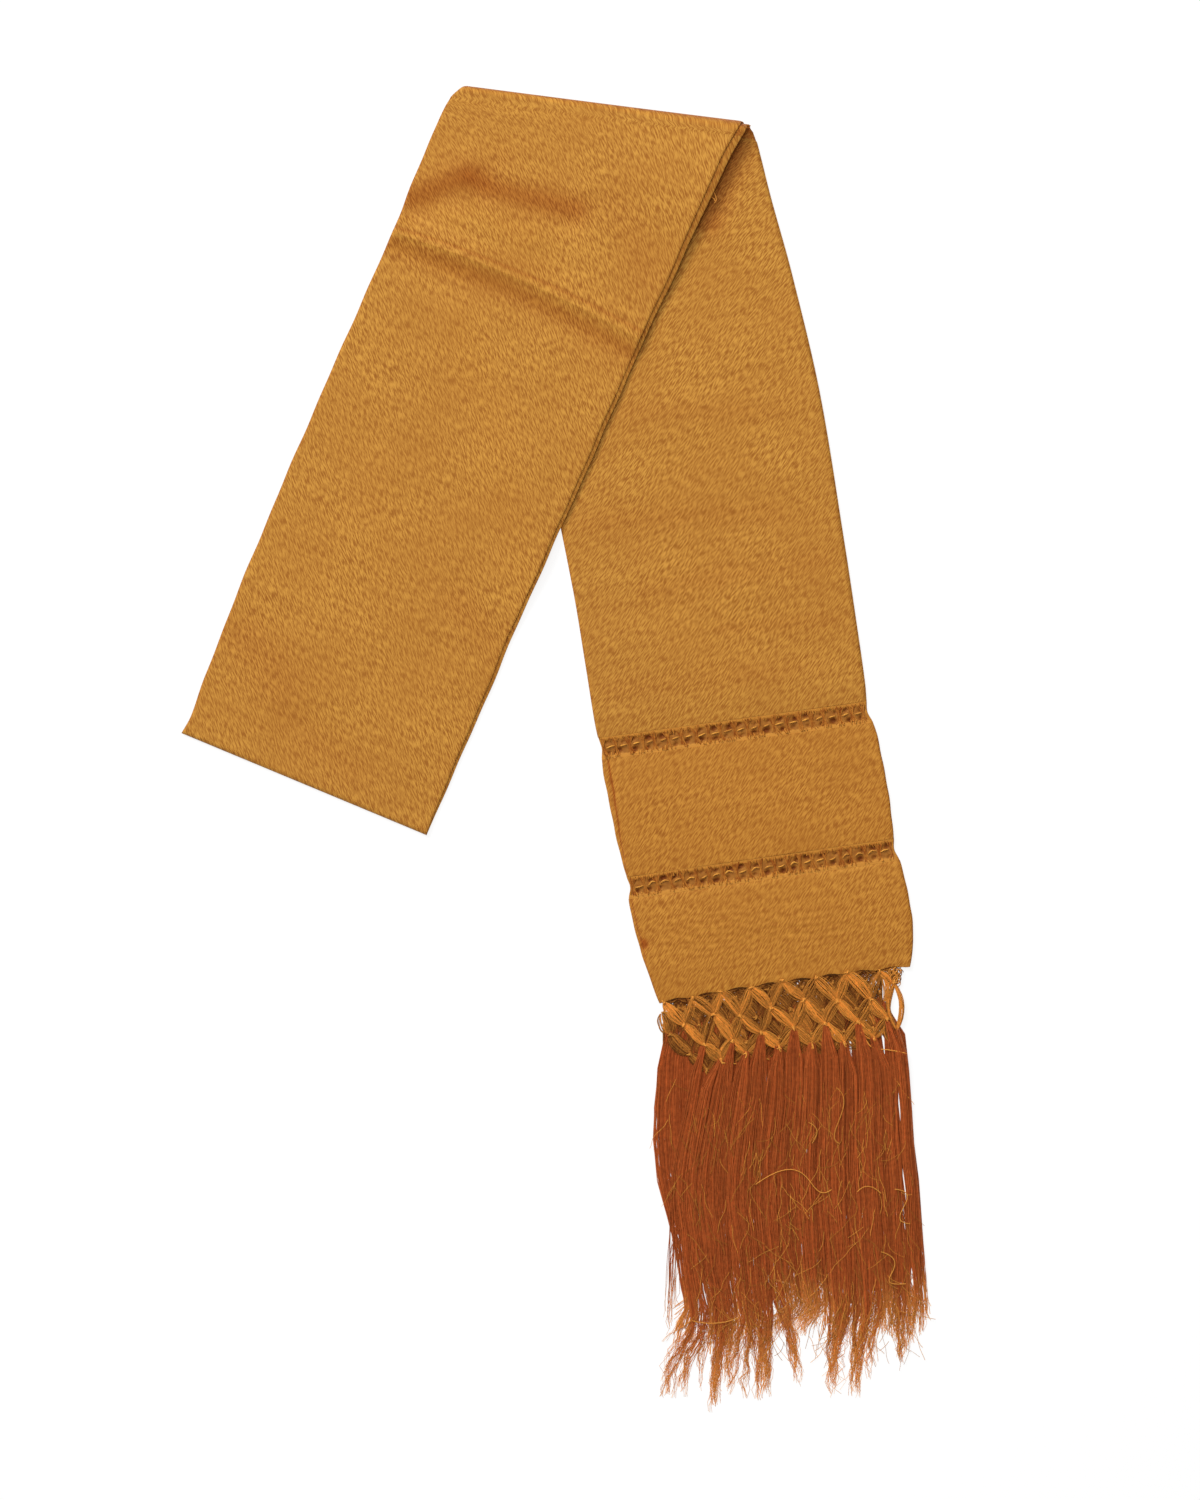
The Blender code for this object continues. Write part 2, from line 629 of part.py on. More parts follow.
def build_fringe(
    name: str, drop: float, first: float, last: float, low: float, seed: int
) -> None:
    """A row of strands of four sides, which grow out of a narrow strip of knots.

    The strip's front face is cut into cells. Every other cell is drawn out into a strand, so
    the strip and its strands are one closed solid.
    """
    rng = random.Random(seed)
    strip_start = NET_START + (NET_ROWS - 1) * NET_ROW_STEP + drop + KNOT_REACH + GAP
    strip_depth = 2.6
    height = 1.7
    fill = 0.74
    builder = bmesh.new()
    pitch = (last - first) / STRANDS
    columns = []
    for k in range(STRANDS):
        start = first + pitch * (k + (1 - fill) / 2)
        columns += [start, start + pitch * fill]
    columns = [first] + columns + [last]
    grid = []
    for across in columns:
        back = net_point(strip_start, across)
        front = net_point(strip_start + strip_depth, across)
        grid.append([
            builder.verts.new((*back, low)),
            builder.verts.new((*back, low + height)),
            builder.verts.new((*front, low + height)),
            builder.verts.new((*front, low)),
        ])
    for k in range(len(grid) - 1):
        a, b = grid[k], grid[k + 1]
        for edge in range(4):
            after = (edge + 1) % 4
            if edge == 2 and k % 2 == 1:
                continue
            builder.faces.new((a[edge], b[edge], b[after], a[after]))
    builder.faces.new(grid[0])
    builder.faces.new(grid[-1][::-1])
    steps = 4
    for k in range(STRANDS):
        a, b = grid[2 * k + 1], grid[2 * k + 2]
        root = [a[2], b[2], b[3], a[3]]
        across = (columns[2 * k + 1] + columns[2 * k + 2]) / 2
        root_x, root_y = net_point(strip_start + strip_depth, across)
        root_down = FOLD_MIDDLE[1] - root_y
        at_root = read_table(FRINGE_OUTLINE, root_down)
        share = (root_x - FOLD_MIDDLE[0] - at_root.left) / (at_root.right - at_root.left)
        tip_down = read_table(FRINGE_TIPS, min(1.0, max(0.0, share))).down
        tip_down -= 26.0 * rng.random() ** 2
        lean = rng.uniform(-0.11, 0.11) * pitch
        rest = low + 0.8 + rng.uniform(-0.1, 0.1)
        rings = [root]
        for step in range(1, steps + 1):
            t = step / steps
            down = blend(root_down, tip_down, t)
            line = read_table(FRINGE_OUTLINE, down)
            x = FOLD_MIDDLE[0] + blend(line.left, line.right, share) + lean * math.sin(2.2 * t)
            y = FOLD_MIDDLE[1] - down
            half = 0.5 * pitch * fill * blend(1.0, 0.42, t ** 2)
            up = blend(0.62, 0.34, t)
            rings.append([
                builder.verts.new((x - half, y, rest + up)),
                builder.verts.new((x + half, y, rest + up)),
                builder.verts.new((x + half, y, rest - up)),
                builder.verts.new((x - half, y, rest - up)),
            ])
        bridge(builder, rings)
        builder.faces.new(rings[-1])
    new_object(name, builder, RUST, 0.6)


def main() -> None:
    """Build every piece of the folded shawl."""
    for existing in list(bpy.data.objects):
        bpy.data.objects.remove(existing, do_unlink=True)
    build_upper_stretch()
    build_top_turn()
    build_plain_stretch("lower_stretch", LOWER_SECTIONS[0].along, ROW_1_START - GAP / 2, 22.0, GOLD)
    build_openwork_row("openwork_row_1", ROW_1_START)
    middle = (ROW_1_START + ROW_LENGTH + GAP / 2, ROW_2_START - GAP / 2)
    build_plain_stretch("middle_band", *middle, 14.0, GOLD_LOW)
    build_openwork_row("openwork_row_2", ROW_2_START)
    end = (ROW_2_START + ROW_LENGTH + GAP / 2, CLOTH_END)
    build_plain_stretch("end_band", *end, 12.0, GOLD_LOW)
    build_net("net_lower", shift=-9.0, drop=3.0, floor=0.3, colour=BROWN)
    build_net("net_upper", shift=0.0, drop=0.0, floor=2.6, colour=GOLD_LOW)
    build_fringe("fringe_lower", drop=3.0, first=-104.5, last=80.0, low=0.3, seed=11)
    build_fringe("fringe_upper", drop=0.0, first=-96.0, last=79.0, low=2.5, seed=23)


main()
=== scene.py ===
"""A folded silk rebozo lying on a pale surface, dressed over its solids.

Metres, +Z up. Tables are in millimetres and degrees. The band of cloth is one shell: it comes
up the upper arm, turns over at the fold line and goes down the lower arm, which ends in two
rows of openwork, a knotted net and a fringe.
"""
import logging
import math
from dataclasses import astuple, dataclass, field, fields
from enum import Enum

import bpy
import numpy as np
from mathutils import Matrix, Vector


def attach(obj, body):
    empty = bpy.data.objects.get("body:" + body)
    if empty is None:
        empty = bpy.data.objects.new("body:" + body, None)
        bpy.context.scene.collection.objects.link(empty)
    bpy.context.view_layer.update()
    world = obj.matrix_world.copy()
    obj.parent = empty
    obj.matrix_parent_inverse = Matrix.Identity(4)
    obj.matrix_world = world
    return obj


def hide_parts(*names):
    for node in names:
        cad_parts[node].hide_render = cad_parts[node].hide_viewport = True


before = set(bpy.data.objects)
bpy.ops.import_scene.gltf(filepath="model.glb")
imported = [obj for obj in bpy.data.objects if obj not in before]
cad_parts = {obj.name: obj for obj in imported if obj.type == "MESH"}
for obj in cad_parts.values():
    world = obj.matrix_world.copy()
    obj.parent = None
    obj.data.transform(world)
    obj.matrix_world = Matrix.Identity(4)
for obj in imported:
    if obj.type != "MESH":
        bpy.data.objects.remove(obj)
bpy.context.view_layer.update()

log = logging.getLogger("rebozo")

MM = 0.001
PHOTO_HEIGHT = 1.08           # what the photograph's frame takes in, in metres
FRAME_CENTRE = (33.5, -2.9)

# The fold line, where the band turns over itself
FOLD_MIDDLE = (33.5, 462.2)
FOLD_SLOPE = -7.4
HALF_FOLD = 103.1
SEAM_DISTANCE = 12.0          # how far down from the fold line the arms begin
CORNER_CUT = 4.4              # the turn's left corner is cut by this much
CORNER_REACH = 9.0
UPPER_HEADING = -23.4
LOWER_HEADING = 11.8
UPPER_SHORTENING = 0.9612     # a distance down from the fold line over the same along the arm
LOWER_SHORTENING = 0.9445
MOUTH_KNEE = 6.3              # where the lower side's right edge bends, down from the fold line

# Heights
BAND_THICKNESS = 4.6
ROW_THINNING = 0.9            # how much thinner the lower arm is at a row of openwork
ROW_PINCH = 13.0
END_THINNING = 0.7            # and at the end of the cloth
END_REACH = 22.0
FOLD_GAP = 0.8
MOUTH_RISE = 7.6
MOUTH_FADE = 78.0
RAMP_HEAD = 9.0
RAMP_FOOT = 58.0

# Places along the lower arm
ROW_LENGTH = 16.0
ROW_1_START = 453.0
ROW_2_START = 554.5
CLOTH_END = 644.0
SEAM_GAP = 0.06
ROW_OVERLAP = 0.4             # how far a row's ground reaches under the cloth beside it


class Slot(Enum):
    """The record's material slots."""

    SILK = "silk"
    OPENWORK = "openwork"
    NET = "net"
    FRINGE = "fringe"


@dataclass(frozen=True)
class Section:
    """A straight line across an arm."""

    along: float
    slope: float
    left: float
    right: float
    lip: float
    peek: float = 0.0       # how far the lower layers stand out at the folded edge


UPPER_SECTIONS = (
    Section(12.8, -7.4, 104.3, 101.4, 6.0),
    Section(22.0, -10.2, 103.6, 98.4, 5.8),
    Section(40.0, -14.0, 103.0, 97.0, 5.2),
    Section(70.0, -17.0, 102.2, 95.6, 4.2),
    Section(110.0, -20.0, 101.3, 95.0, 3.4),
    Section(147.0, -23.0, 100.3, 93.8, 3.0),
    Section(230.0, -23.2, 101.0, 93.4, 3.0),
    Section(330.0, -23.2, 101.1, 92.8, 2.4),
    Section(380.0, -23.1, 100.5, 91.6, 3.0),
    Section(430.0, -23.0, 99.6, 92.6, 2.6),
    Section(490.0, -22.7, 97.0, 92.6, 2.0),
    Section(520.0, -22.6, 95.4, 93.6, 1.2),
    Section(534.0, -22.6, 96.6, 94.2, 0.4),
)
LOWER_SECTIONS = (
    Section(13.0, -7.4, 102.8, 110.0, 0.6),
    Section(22.0, -3.6, 100.2, 108.3, 0.6),
    Section(40.0, 0.0, 98.0, 107.2, 0.6),
    Section(77.0, 4.0, 95.6, 107.1, 0.6),
    Section(143.0, 8.0, 93.0, 110.0, 0.6),
    Section(231.0, 9.0, 90.5, 111.9, 0.6),
    Section(342.0, 9.0, 90.7, 107.1, 0.6),
    Section(400.0, 8.5, 93.1, 103.8, 0.6),
    Section(440.0, 8.0, 95.0, 101.2, 0.6),
    Section(453.0, 7.8, 95.0, 99.6, 0.6, 1.0),
    Section(461.0, 7.8, 94.2, 98.8, 0.4, 2.4),
    Section(469.0, 7.8, 95.8, 101.0, 0.6, 5.0),
    Section(484.0, 8.0, 96.8, 101.8, 0.8, 5.8),
    Section(510.0, 8.2, 97.1, 101.7, 0.8, 4.4),
    Section(540.0, 8.2, 96.6, 99.9, 0.8, 2.4),
    Section(554.5, 8.2, 95.6, 98.6, 0.6, 0.8),
    Section(562.5, 8.2, 94.6, 97.4, 0.4, 1.4),
    Section(570.5, 8.2, 97.2, 99.1, 0.8, 2.6),
    Section(590.0, 8.3, 97.6, 100.0, 1.0, 2.8),
    Section(610.0, 8.3, 96.6, 99.8, 1.0, 2.6),
    Section(619.0, 8.3, 95.2, 98.6, 0.9, 0.6),
    Section(630.0, 8.3, 93.6, 96.4, 0.8, 0.6),
    Section(644.0, 8.3, 91.0, 91.2, 0.4, 0.4),
)


@dataclass(frozen=True)
class EdgePoint:
    """A point of a cross-section's layered side, from its outer face to its inner one."""

    inset: float
    height: float
    lip: float = 0.0
    peek: float = 0.0
    shade: float = 0.0      # painted shade, for a point that lies far in between two layers


# The shade column paints shade on the dark lines between the layers of both edges.
FOLDED_EDGE = (
    EdgePoint(2.2, 0.995, 0.0, 1.0),
    EdgePoint(1.2, 0.95, 0.0, 1.0),
    EdgePoint(0.4, 0.86, 0.0, 1.0, 0.3),
    EdgePoint(0.0, 0.74, 0.0, 1.0, 0.8),
    EdgePoint(0.5, 0.60, 0.0, 1.0, 1.6),
    EdgePoint(2.2, 0.53, 0.0, 1.0, 2.0),
    EdgePoint(5.0, 0.50, 0.0, 1.0, 2.0),
    EdgePoint(1.9, 0.455, 0.0, 0.95, 2.0),
    EdgePoint(0.3, 0.465, 0.0, 0.86, 2.0),
    EdgePoint(0.4, 0.47, 0.0, 0.60, 0.3),
    EdgePoint(0.5, 0.43),
    EdgePoint(0.3, 0.22),
    EdgePoint(0.9, 0.09),
    EdgePoint(2.2, 0.01),
)
OPEN_EDGE = (
    EdgePoint(1.6, 0.99),
    EdgePoint(0.5, 0.96),
    EdgePoint(0.0, 0.88),
    EdgePoint(0.3, 0.77, shade=0.6),
    EdgePoint(1.6, 0.70, shade=2.0),
    EdgePoint(4.8, 0.66, shade=2.0),
    EdgePoint(2.0, 0.64, 0.25, shade=1.2),
    EdgePoint(0.6, 0.61, 1.0),
    EdgePoint(0.0, 0.50, 1.0),
    EdgePoint(0.5, 0.38, 1.0),
    EdgePoint(4.8, 0.31, 0.6),
    EdgePoint(1.4, 0.27, 0.7),
    EdgePoint(0.9, 0.16, 0.7),
    EdgePoint(1.8, 0.02, 0.7),
)
FACE_INSET = 3.2              # where the faces of the cloth begin, inside its edges


@dataclass(frozen=True)
class Places:
    """Places on an arm."""

    along: np.ndarray       # from the fold line
    across: np.ndarray      # from the arm's axis, towards +X
    side: np.ndarray        # from -1 at the left edge to 1 at the right


@dataclass(frozen=True)
class Crease:
    """A soft ridge or trough that runs across an arm from edge to edge."""

    left: float
    middle: float
    right: float
    rise: float
    above: float            # its half width towards the fold line
    below: float
    start: float = -1.4     # from -1 at the left edge to 1 at the right
    end: float = 1.4
    tint: float = 0.0       # painted shade in it, and painted highlight where below 0
    soft: float = 0.4       # how slowly it starts and ends

    def nearness(self, at: Places) -> np.ndarray:
        """How near places are to the crease.

        Args:
            at: the places.

        Returns:
            From 1 on its line to 0 away from it.
        """
        bow = self.middle - (self.left + self.right) / 2
        centre = self.left + (self.right - self.left) * (at.side + 1) / 2
        away = at.along - (centre + bow * (1 - at.side ** 2))
        width = np.where(away < 0, self.above, self.below)
        fade = ease((at.side - self.start) / self.soft) * ease((self.end - at.side) / self.soft)
        return fade * np.exp(-((away / width) ** 2))


@dataclass(frozen=True)
class Dent:
    """A soft ridge or hollow along a short line on an arm, and the painted shade along it."""

    along: float
    across: float
    to_along: float
    to_across: float
    rise: float
    width: float
    # painted shade along it, and painted highlight where below 0
    tint: float = 0.0

    def nearness(self, at: Places) -> np.ndarray:
        """How near places are to the dent.

        Args:
            at: the places.

        Returns:
            From 1 on its line to 0 away from it.
        """
        ex, ey = self.to_along - self.along, self.to_across - self.across
        px, py = at.along - self.along, at.across - self.across
        t = np.clip((px * ex + py * ey) / (ex * ex + ey * ey), 0, 1)
        gap = np.hypot(px - ex * t, py - ey * t)
        return np.exp(-((gap / self.width) ** 2))


@dataclass(frozen=True)
class Ripples:
    """A patch of fine even ripples."""

    along: float
    across: float
    reach_along: float
    reach_across: float
    angle: float            # of their crests, from the line across the arm
    spacing: float
    rise: float
    sway: float = 0.35      # how far their crests wander, as a share of the spacing

    def height(self, at: Places) -> np.ndarray:
        """Height of the ripples.

        Args:
            at: places on the arm.

        Returns:
            Heights over the smooth face.
        """
        turn = math.radians(self.angle)
        px, py = at.along - self.along, at.across - self.across
        phase = (px * math.cos(turn) + py * math.sin(turn)) / self.spacing
        phase = phase + self.sway * np.sin(py / self.spacing * 0.6 + px * 0.05)
        window = np.exp(-((px / self.reach_along) ** 2) - (py / self.reach_across) ** 2)
        return self.rise * window * np.cos(2 * math.pi * phase)


@dataclass(frozen=True)
class Relief:
    """Everything that moves an arm's face up and down, and paints shade and highlight on it."""

    creases: tuple[Crease, ...] = ()
    dents: tuple[Dent, ...] = ()
    ripples: tuple[Ripples, ...] = ()
    unevenness: float = 0.0
    seed: int = 1
    shortest: float = 34.0  # wavelengths of the unevenness
    longest: float = 120.0

    def height(self, at: Places) -> np.ndarray:
        """The relief's height.

        Args:
            at: places on the arm.

        Returns:
            Heights over the smooth face.
        """
        total = np.zeros_like(at.across)
        for form in (*self.creases, *self.dents):
            total += form.rise * form.nearness(at)
        for patch in self.ripples:
            total += patch.height(at)
        uneven = swell(at.along, at.across, self.seed, self.shortest, self.longest)
        return total + self.unevenness * uneven

    def tint(self, at: Places) -> np.ndarray:
        """The relief's painted shade.

        Args:
            at: places on the arm.

        Returns:
            How much painted shade there is, and less than 0 where there is painted highlight.
        """
        total = np.zeros_like(at.across)
        for form in (*self.creases, *self.dents):
            total += form.tint * form.nearness(at)
        return total


# In the reliefs below, each crease and dent also paints shade in hollows and on the sides of creases
# turned from the light, and painted highlight on lit ridges where its value is below 0.
UPPER_RELIEF = Relief(
    creases=(
        Crease(142.0, 138.0, 144.0, 2.3, 13.0, 9.0),
        # A thin groove with painted shade and a thin line with painted highlight on the crease's crest,
        # then painted shade on its lower side.
        Crease(138.6, 134.6, 140.6, -0.45, 1.6, 1.4, tint=0.9),
        Crease(143.0, 139.2, 145.4, 0.5, 1.4, 1.6, tint=-0.6),
        Crease(158.0, 155.0, 162.0, -1.3, 8.0, 16.0),
        Crease(152.0, 149.0, 156.0, 0.0, 6.0, 9.0, tint=0.8),
        Crease(132.0, 128.5, 135.0, 0.0, 6.0, 6.0, tint=0.1),
        # Painted highlight on a band just below the turn.
        Crease(15.0, 15.0, 15.0, 0.0, 5.0, 5.0, tint=-0.3),
        Crease(458.0, 470.0, 482.0, 0.5, 18.0, 24.0, -0.9, 0.5),
    ),
    dents=(
        # Two hollows, each with painted shade on its side away from the light.
        Dent(122.0, -94.0, 90.0, -60.0, -1.7, 12.0),
        Dent(104.0, -98.0, 64.0, -66.0, 0.7, 12.0),
        Dent(112.0, -98.0, 80.0, -68.0, 0.0, 12.0, 1.3),
        Dent(78.0, -66.0, 58.0, -50.0, 0.0, 10.0, 0.35),
        Dent(93.0, -48.0, 90.0, 14.0, -1.5, 11.0),
        Dent(70.0, -44.0, 64.0, 14.0, 0.7, 11.0),
        Dent(83.0, -50.0, 79.0, 14.0, 0.0, 11.0, 1.3),
        Dent(64.0, 36.0, 104.0, 80.0, -0.5, 14.0, 0.3),
        Dent(110.0, -70.0, 112.0, -10.0, 0.8, 9.0, -0.3),
        Dent(30.0, 40.0, 62.0, 78.0, 0.5, 12.0),
        Dent(250.0, 60.0, 330.0, 30.0, 0.35, 22.0),
        Dent(300.0, -70.0, 420.0, -40.0, -0.4, 26.0),
        Dent(420.0, 40.0, 500.0, -10.0, -0.45, 24.0),
        Dent(452.0, -84.0, 472.0, -48.0, -0.3, 20.0, 0.4),
        Dent(370.0, 48.0, 384.0, 78.0, -0.25, 14.0, 0.35),
        Dent(496.0, -30.0, 512.0, 30.0, -0.3, 14.0, 0.25),
    ),
    ripples=(
        Ripples(500.0, -60.0, 26.0, 30.0, 28.0, 11.0, 0.10),
    ),
    unevenness=0.16,
    seed=7,
)
LOWER_RELIEF = Relief(
    creases=(
        Crease(214.0, 226.0, 236.0, 0.5, 16.0, 16.0, -0.6),
        Crease(300.0, 316.0, 322.0, -0.5, 22.0, 22.0, -0.8, 1.1),
    ),
    dents=(
        Dent(60.0, 60.0, 150.0, 96.0, -0.5, 20.0),
        Dent(390.0, -60.0, 430.0, 40.0, 0.35, 16.0),
        # Painted shadow where the upper arm's edge overhangs the lower arm near the mouth.
        Dent(26.0, 94.0, 92.0, 58.0, 0.0, 11.0, 1.6),
        Dent(222.0, -30.0, 240.0, 80.0, 0.0, 8.0, 0.25),
        Dent(296.0, -70.0, 310.0, 60.0, 0.0, 9.0, 0.3),
        Dent(352.0, -40.0, 350.0, 90.0, 0.0, 8.0, 0.3),
        Dent(388.0, 10.0, 392.0, 90.0, 0.0, 6.0, 0.3),
        Dent(420.0, -80.0, 424.0, 70.0, 0.0, 8.0, 0.25),
    ),
    ripples=(
        Ripples(168.0, 34.0, 34.0, 50.0, -22.0, 6.2, 0.14),
        Ripples(300.0, -20.0, 42.0, 52.0, -14.0, 6.6, 0.13),
        Ripples(360.0, 50.0, 30.0, 40.0, -16.0, 7.4, 0.12),
    ),
    unevenness=0.14,
    seed=12,
)
BAND_RELIEF = Relief(
    dents=(
        Dent(602.5, -92.6, 605.0, -92.4, -0.5, 2.6, 2.4),
        Dent(505.0, -70.0, 520.0, 30.0, 0.35, 14.0),
        Dent(598.0, -60.0, 606.0, 60.0, 0.3, 12.0),
    ),
    ripples=(
        Ripples(604.0, -40.0, 26.0, 54.0, -12.0, 5.0, 0.20),
        Ripples(612.0, 34.0, 20.0, 54.0, -10.0, 5.4, 0.15),
        Ripples(510.0, 10.0, 24.0, 60.0, -12.0, 6.2, 0.07),
    ),
    unevenness=0.14,
    seed=21,
)


def ease(value: np.ndarray) -> np.ndarray:
    """Ease from 0 to 1 as value goes from 0 to 1."""
    value = np.clip(value, 0.0, 1.0)
    return value * value * (3.0 - 2.0 * value)


def swell(
    x: np.ndarray, y: np.ndarray, seed: int, shortest: float, longest: float, waves: int = 16
) -> np.ndarray:
    """A smooth uneven field.

    Args:
        x: places in one direction.
        y: places in the other.
        seed: which field.
        shortest: its shortest wavelength.
        longest: its longest.
        waves: how many plane waves it adds up.

    Returns:
        Values of about -1 to 1.
    """
    rng = np.random.default_rng(seed)
    total = np.zeros(np.broadcast(x, y).shape)
    for _ in range(waves):
        turn, phase = rng.uniform(0, math.pi), rng.uniform(0, 2 * math.pi)
        number = 2 * math.pi / rng.uniform(shortest, longest)
        total = total + np.sin((x * math.cos(turn) + y * math.sin(turn)) * number + phase)
    return total / math.sqrt(waves)


class Curve:
    """A smooth curve through the rows of a short table, whose first column is the place."""

    def __init__(self, rows: tuple) -> None:
        """Work out the slope of each column at each row.

        Args:
            rows: dataclasses of numbers, in the order of their first field.
        """
        self.names = [item.name for item in fields(rows[0])]
        self.values = np.array([astuple(row) for row in rows], dtype=float)
        place, value = self.values[:, :1], self.values
        self.slopes = np.zeros_like(value)
        self.slopes[1:-1] = (value[2:] - value[:-2]) / (place[2:] - place[:-2])
        self.slopes[0] = (value[1] - value[0]) / (place[1] - place[0])
        self.slopes[-1] = (value[-1] - value[-2]) / (place[-1] - place[-2])

    def read(self, name: str, at: np.ndarray) -> np.ndarray:
        """Read one column of the table.

        Args:
            name: the column.
            at: places along the table.

        Returns:
            The column's values there.
        """
        column, place = self.names.index(name), self.values[:, 0]
        at = np.clip(at, place[0], place[-1])
        k = np.clip(np.searchsorted(place, at, side="right") - 1, 0, len(place) - 2)
        span = place[k + 1] - place[k]
        t = (at - place[k]) / span
        value, slope = self.values[:, column], self.slopes[:, column]
        return (
            (2 * t ** 3 - 3 * t ** 2 + 1) * value[k]
            + (t ** 3 - 2 * t ** 2 + t) * slope[k] * span
            + (3 * t ** 2 - 2 * t ** 3) * value[k + 1]
            + (t ** 3 - t ** 2) * slope[k + 1] * span
        )

    def row(self, at: float, *names: str) -> list[float]:
        """The values of several columns at one place."""
        return [float(self.read(name, at)) for name in names]


# The columns of a cross-section's points, as Profile works them out
Layout = dict[str, np.ndarray]


def ring_across(
    layout: Layout, left: float, right: float, lip: float, peek: float = 0.0, wobble: float = 0.0
) -> np.ndarray:
    """Places across a ring.

    Args:
        layout: the cross-section's points.
        left: where its folded edge lies.
        right: where its open edge lies.
        lip: how far the lower layers stand out at the open edge.
        peek: and at the folded edge.
        wobble: how far both edges stand out.

    Returns:
        The place of each point, counted as left and right are.
    """
    share = layout["share"]
    across = left + (right - left) * share + layout["inset"]
    across = across + lip * layout["lip"] + peek * layout["peek"]
    return across + wobble * (2 * share - 1)


class Arm:
    """One arm of the folded band, which turns a place on it into a place on the plane."""

    def __init__(self, heading: float, rows: tuple[Section, ...]) -> None:
        """Keep the arm's axis and its sections."""
        self.axis = (math.sin(math.radians(heading)), -math.cos(math.radians(heading)))
        self.curve = Curve(rows)

    def place(self, along: np.ndarray, across: np.ndarray) -> tuple[np.ndarray, np.ndarray]:
        """Where places on the arm lie on the plane.

        Args:
            along: distances from the fold line.
            across: distances from the arm's axis, towards +X.

        Returns:
            X and Y.
        """
        slope = np.radians(self.curve.read("slope", along))
        return (
            FOLD_MIDDLE[0] + self.axis[0] * along + np.cos(slope) * across,
            FOLD_MIDDLE[1] + self.axis[1] * along + np.sin(slope) * across,
        )

    def ring(self, layout: Layout, along: float, wobble: float = 0.0, peeks: bool = True) -> Places:
        """Places round a cross-section of the arm.

        Args:
            layout: the cross-section's points.
            along: its distance from the fold line.
            wobble: how far both edges stand out.
            peeks: whether the lower layers stand out at the folded edge.

        Returns:
            The places.
        """
        left, right, lip, peek = self.curve.row(along, "left", "right", "lip", "peek")
        across = ring_across(layout, -left, right, lip, peek if peeks else 0.0, wobble)
        side = np.clip((across + left) / (right + left) * 2 - 1, -1, 1)
        return Places(np.full_like(across, along), across, side)


UPPER = Arm(UPPER_HEADING, UPPER_SECTIONS)
LOWER = Arm(LOWER_HEADING, LOWER_SECTIONS)


def outside_lower_arm(x: np.ndarray, y: np.ndarray) -> np.ndarray:
    """How far places lie to the left of the lower arm's folded edge.

    Args:
        x: places on the plane.
        y: the same.

    Returns:
        Distances, less than 0 for a place on the arm.
    """
    at = np.linspace(13.0, 460.0, 39)
    ex, ey = LOWER.place(at, -LOWER.curve.read("left", at))
    best = np.full(x.shape, np.inf)
    signed = np.zeros(x.shape)
    for k in range(len(at) - 1):
        dx, dy = ex[k + 1] - ex[k], ey[k + 1] - ey[k]
        t = np.clip(((x - ex[k]) * dx + (y - ey[k]) * dy) / (dx * dx + dy * dy), 0, 1)
        gap = np.hypot(x - ex[k] - dx * t, y - ey[k] - dy * t)
        side = np.where(dx * (y - ey[k]) - dy * (x - ex[k]) < 0, 1.0, -1.0)
        nearer = gap < best
        best, signed = np.where(nearer, gap, best), np.where(nearer, side * gap, signed)
    return signed


def mouth_rise(share: np.ndarray) -> np.ndarray:
    """How far the turn opens, with share 0 at its closed end and 1 at its mouth."""
    return MOUTH_RISE * np.clip(share, 0, 1) ** 3


def upper_floor(along: np.ndarray, across: np.ndarray) -> np.ndarray:
    """Height of the upper arm's underside over the surface.

    Args:
        along: distances from the fold line.
        across: distances from the arm's axis.

    Returns:
        Heights, down to 0 at the foot of its ramp beside the lower arm.
    """
    x, y = UPPER.place(along, across)
    left, right = UPPER.curve.read("left", along), UPPER.curve.read("right", along)
    leave = ease((RAMP_FOOT - outside_lower_arm(x, y)) / (RAMP_FOOT - RAMP_HEAD))
    fade = np.exp(-(((along - SEAM_DISTANCE) / MOUTH_FADE) ** 2))
    rise = mouth_rise((across + left) / (left + right)) * fade
    return (BAND_THICKNESS + FOLD_GAP + rise) * leave


def lower_thickness(along: np.ndarray) -> np.ndarray:
    """Thickness of the lower arm.

    Args:
        along: distances from the fold line.

    Returns:
        Thicknesses, less towards each row of openwork and the end of the cloth.
    """
    total = np.full(np.shape(along), BAND_THICKNESS)
    for start in (ROW_1_START, ROW_2_START):
        pinch = np.exp(-(((along - start - ROW_LENGTH / 2) / ROW_PINCH) ** 2))
        total = total - ROW_THINNING * pinch
    return total - END_THINNING * ease((along - (CLOTH_END - END_REACH)) / END_REACH)


def edge_wobble(along: float, size: float, short: float, long: float, start: float) -> float:
    """How unevenly the cloth's edges stand out: a short wave inside a long one."""
    return size * math.sin(along / short) * math.sin(along / long + start)


@dataclass(frozen=True)
class Profile:
    """The points round a cross-section: outer face, open side, inner face, folded side."""

    columns: int = 78

    def points(self) -> Layout:
        """Where each point lies.

        Returns:
            share: 0 at the folded edge and 1 at the open one; inset: from that edge, inwards;
            height: 1 on the outer face and 0 on the inner; lip and peek: how much of each
                moves the point; shade: its painted shade, where it lies far in between two layers.
        """
        steps = np.linspace(0, 1, self.columns)
        face = [(s, FACE_INSET * (1 - 2 * s)) for s in steps]
        rows = [(s, inset, 1.0, 0.0, 1.0 - s, 0.0) for s, inset in face]
        rows += [(1.0, -e.inset, e.height, e.lip, 0.0, e.shade) for e in OPEN_EDGE]
        rows += [(s, inset, 0.0, 0.7 * s, 0.0, 0.0) for s, inset in face[::-1]]
        rows += [(0.0, e.inset, e.height, 0.0, e.peek, e.shade) for e in FOLDED_EDGE[::-1]]
        names = ("share", "inset", "height", "lip", "peek", "shade")
        return dict(zip(names, np.array(rows).T))


class Paint:
    """Names of the mesh data that the materials read."""

    UV = "cloth"
    # For a cloth, the strand data holds its painted shade and highlight; for a thread, its tone, share
    # along it and chance.
    STRAND = "strand"


